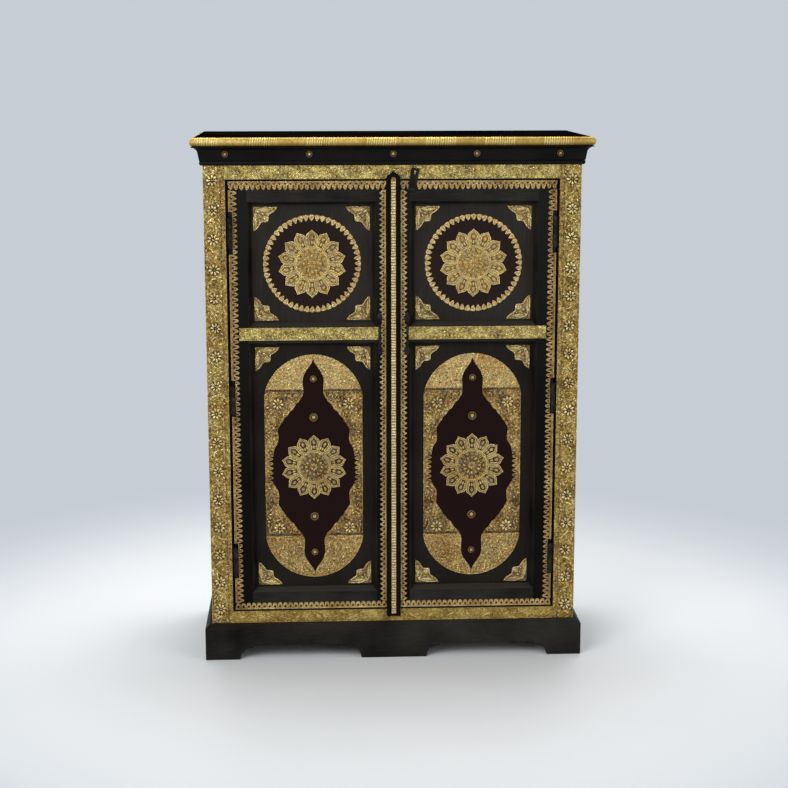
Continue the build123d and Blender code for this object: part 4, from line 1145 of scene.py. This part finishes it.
def edgeDistance(x, z, outline):
    nearest = math.inf
    for (x0, z0), (x1, z1) in zip(outline, outline[1:] + outline[:1]):
        dx, dz = x1 - x0, z1 - z0
        along = max(0, min(1, ((x - x0) * dx + (z - z0) * dz) / (dx ** 2 + dz ** 2 + 1e-9)))
        nearest = min(nearest, math.hypot(x - x0 - along * dx, z - z0 - along * dz))
    return nearest


def edgeScallops(scallop, line, ground):
    # scallops at an even pitch along a line, standing just inside it
    copies, walked = [], 3.0
    for (x0, z0), (x1, z1) in zip(line, line[1:]):
        length = math.hypot(x1 - x0, z1 - z0)
        turn = math.atan2(z0 - z1, x1 - x0)
        while walked < length:
            t = walked / length
            x, z = x0 + (x1 - x0) * t + 1.9 * math.sin(turn), z0 + (z1 - z0) * t + 1.9 * math.cos(turn)
            copies += stampCopies(scallop, [(x, ground, z, math.degrees(turn), 0.92)])
            walked += spandrel["scallopPitch"]
        walked -= length
    return copies


def makeSpandrel():
    # the right half, drawn round the medallion's middle
    dice = random.Random(spandrel["seed"])
    edge, half, waistEdge = spandrel["edge"], spandrel["halfWidth"], spandrel["waistEdge"]
    low, high = spandrel["waist"]
    upper = edge + [(waistEdge, high), (waistEdge + 10, high)]
    lower = [(waistEdge + 10, low), (waistEdge, low + 2)] + [(x, -z) for x, z in reversed(edge) if z > 42]
    outline = capsuleEdge() + upper + lower
    ground = -spandrel["sheet"]
    tall = spandrel["halfHeight"] + 1
    sheet = makeSheet((0, half + 1, -tall, tall), 0, spandrel)
    cutShape(sheet, outline, "INTERSECT")
    flower = makeFlower("flower", 12.5, 7.0, 3.0, 1.9)
    curl = makeCurl(4.8, 1.2)
    leaf = emboss("leaf", leafOutline(9.5, 4.2, belly=0.8, bend=1.0, count=5, root=-4.7),
                  [(0, 0.3), (0.7, 0.8)], peak=0.3)
    bead = emboss("bead", roundOutline(1.8, 6), [(0, 0.2), (0.6, 0.7)], peak=0.3)
    scallop = emboss("scallop", [(-3.1, 0), (3.1, 0), (3.0, 2.2), (1.8, 4.0), (0, 4.8), (-1.8, 4.0),
                                 (-3.0, 2.2)], [(0, 0.3), (0.7, 0.7), (0.7, -0.5)])
    parts = [sheet] + stampCopies(flower, [(x, ground, z, dice.uniform(-20, 20), 1.05)
                                           for x, z in spandrel["flowers"]])
    taken = [(x, z, 17) for x, z in spandrel["flowers"]]
    # a strip of the door's edging fills the waist
    count = round((high - low) / edging["pitch"])
    pitch = (high - low) / count
    parts += stampCopies(sideTooth, [(half - 0.5, -0.3, low + pitch * (i + 0.5), -90,
                                      (pitch / edging["pitch"], 1, 0.95)) for i in range(count)])
    # a raised line and a row of scallops along the medallion's edge, and a hoop along the capsule's
    for line in (upper[:-1], lower[1:]):
        parts.append(drawWire("rim", [(x + 0.9, ground, z) for x, z in line], 1.8, steps=2))
        parts += edgeScallops(scallop, line, ground)
    parts.append(drawWire("hoop", [(x - 0.8, ground, z) for x, z in capsuleEdge()], 1.6, steps=2))
    for level, gap in zip(spandrel["seams"], (-3.4, 3.4)):
        start = min(x for x, z in upper + lower if abs(z - level) < 14) + 4
        parts.append(drawWire("seam", [(start, ground, level), (half - 2, ground, level)], 1.6))
        step = spandrel["dashPitch"]
        parts += stampCopies(bead, [(start + 3 + step * i, ground, level + gap, 0, (1.0, 0.8, 0.6))
                                    for i in range(int((half - start - 6) / step))])

    def fits(x, z, reach):
        if low - 4 < z < high + 4 or min(abs(z - level) for level in spandrel["seams"]) < reach + 2.4:
            return False
        return insideOutline(x, z, outline) and edgeDistance(x, z, outline) > reach + 4.5 * (x < 100)

    shapes = [(curl, 0.3, 5.0, (0, 90, 180, 270)), (leaf, 0.72, 3.9, (0, 60, 120, 180, 240, 300)),
              (bead, 1.0, 1.8, (0,))]
    parts += throwOrnament(dice, (8, half, -tall, tall), spandrel["tries"], fits, shapes, ground, taken)
    dropShapes(flower, curl, leaf, bead, scallop)
    return joinAll("spandrel", parts)


def makeSpandrels():
    shape = makeSpandrel()
    pair = stampCopies(shape, [(panelX, panelY, medallionLevel, 0, (side, 1, 1)) for side in (1, -1)])
    dropShapes(shape)
    upperSeam, lowerSeam = spandrel["seams"]

    def darkAt(x, z):
        # dark between the seams, along them and under the petals; rubbed bright beyond them
        dx, dz = abs(abs(x) - panelX), z - medallionLevel
        near = min(math.hypot(dx - fx, dz - fz) for fx, fz in spandrel["flowers"])
        if min(abs(dz - upperSeam), abs(dz - lowerSeam)) < 2.6:
            return 1.6
        if lowerSeam < dz < upperSeam:
            patch = 0.5 + 0.5 * math.sin(dx / 11 + dz / 17) * math.sin(dz / 23 - dx / 29)
            return max(0.25 + 0.75 * patch, 0.9 if near < 15 else 0)
        return 0.0 if dz > 0 else 0.3

    dressDoors("spandrel_pair", pair, panelBrass, "brass_relief", "spandrels",
               (panelY - 0.7, panelY - 2.7), darkAt)


makeSpandrels()
dropShapes(sideTooth)
print("spandrels made")


# nail heads: a small button in a dished ring with a raised rim

nails = {
    "radius": 8.5, "cornice": (-2, -1, 0, 1, 2), "pitch": 207, "level": 1299, "ground": -196.0,
    "panel": ((731.1, 8.6), (631.4, 10.8), (370.5, 10.8), (275.3, 8.6)),  # level and radius of each
}


def makeNails():
    radius, ground = nails["radius"], nails["ground"]
    nail = emboss("nail", roundOutline(radius, 20),
                  [(0, 0.7), (0.3, 0.7), (1.5, 0.2), (0.3, -1.2), (2.2, 0), (0.3, 1.3), (1.6, 0.3)], peak=0.2)
    cornice = joinAll("cornice_nails", stampCopies(nail, [
        (i * nails["pitch"], ground, nails["level"], 0, (0.95, 1, 0.95)) for i in nails["cornice"]]))
    markRelief(cornice, ground - 0.8, ground - 2.8)
    markPatina(cornice, lambda x, z: 0.7)
    dress(cornice, studBrass, "carcass", "brass_relief", "cornice_studs")
    onPanel = stampCopies(nail, [(panelX, panelY, level, 0, (size / radius, 1, size / radius))
                                 for level, size in nails["panel"]])
    dropShapes(nail)
    dressDoors("panel_nails", onPanel, studBrass, "brass_relief", "panel_studs", (panelY - 0.7, panelY - 2.6),
               lambda x, z: 0.7)


makeNails()
print("nails made")


# centre batten's brass strip: a bar with cushions pressed across it

strip = {"half": 6.4, "bottom": 116, "top": 1242, "front": -197, "pitch": 7.0, "seed": 61}


def makeStrip():
    dice = random.Random(strip["seed"])
    half, bottom, top, front = (strip[key] for key in ("half", "bottom", "top", "front"))
    reach = strip["pitch"] / 2
    cushion = emboss("cushion", [(-half + 0.5, -reach + 0.8), (half - 0.5, -reach + 0.8),
                                 (half - 0.5, reach - 0.8), (-half + 0.5, reach - 0.8)],
                     [(0, 0.5), (0.5, 0.6), (0.5, 0.3)])
    cap = [onCircle(half, angle) for angle in range(75, -76, -15)]
    bar = emboss("bar", [(-half, bottom), (half, bottom)] + [(x, top - half + z) for x, z in cap],
                 [(0, 1.2), (0.6, 0.3)])
    bar.location = (0, front * mm, 0)
    parts, z = [bar], bottom + reach
    while z < top - 8:
        size = dice.uniform(0.88, 1.12)
        parts += stampCopies(cushion, [(0, front - 0.9, z, dice.uniform(-2, 2),
                                        (1, dice.uniform(0.7, 1.05), size))])
        z += strip["pitch"] * size
    piece = joinAll("batten_strip", parts)
    dropShapes(cushion)
    markRelief(piece, front - 0.9, front - 2.0)
    markPatina(piece, lambda x, z: 0.4 * math.sin(z / 61) * math.sin(z / 23))
    dress(piece, stripBrass, "right_door", "brass_relief", "batten_brass")


makeStrip()
print("batten strip made")


# handles: a bowed iron grip between two leaf-shaped plates

handle = {"x": 34.5, "level": 847.5, "grip": 31, "reach": 23.2, "thick": 6.2}


def makeHandle():
    x, level, reach, grip, back = handle["x"], handle["level"], handle["reach"], handle["grip"], faceY - 0.9
    side = [(3.4, 24), (4.2, 31), (7.4, 38), (7.0, 45), (4.6, 51), (1.8, 55), (0, 58)]
    plate = emboss("plate", mirrored(side), [(0, 1.4), (0.8, 0.7), (1.2, 0.3)], peak=0.3)
    bow = [(1, grip - 3), (-6, grip - 3.5), (-15, grip * 0.8), (1 - reach, grip * 0.45), (-reach, 0)]
    bow += [(y, -z) for y, z in reversed(bow[:-1])]
    wire = drawWire("bow", [(x, back + y, level + z) for y, z in bow], handle["thick"], sides=3, steps=4)
    nail = emboss("nail", roundOutline(1.7), [(0, 0.5), (0.5, 0.5)], peak=0.2)
    parts = [wire] + stampCopies(plate, [(x, back, level, turn, 1.0) for turn in (0, 180)])
    parts += stampCopies(nail, [(x, back - 2.2, level + rise, 0, 1.0) for rise in (44, -44)])
    dropShapes(plate, nail)
    dressDoors("pull", parts, ironFinish, "black_iron", "handle")


makeHandle()
print("handles made")
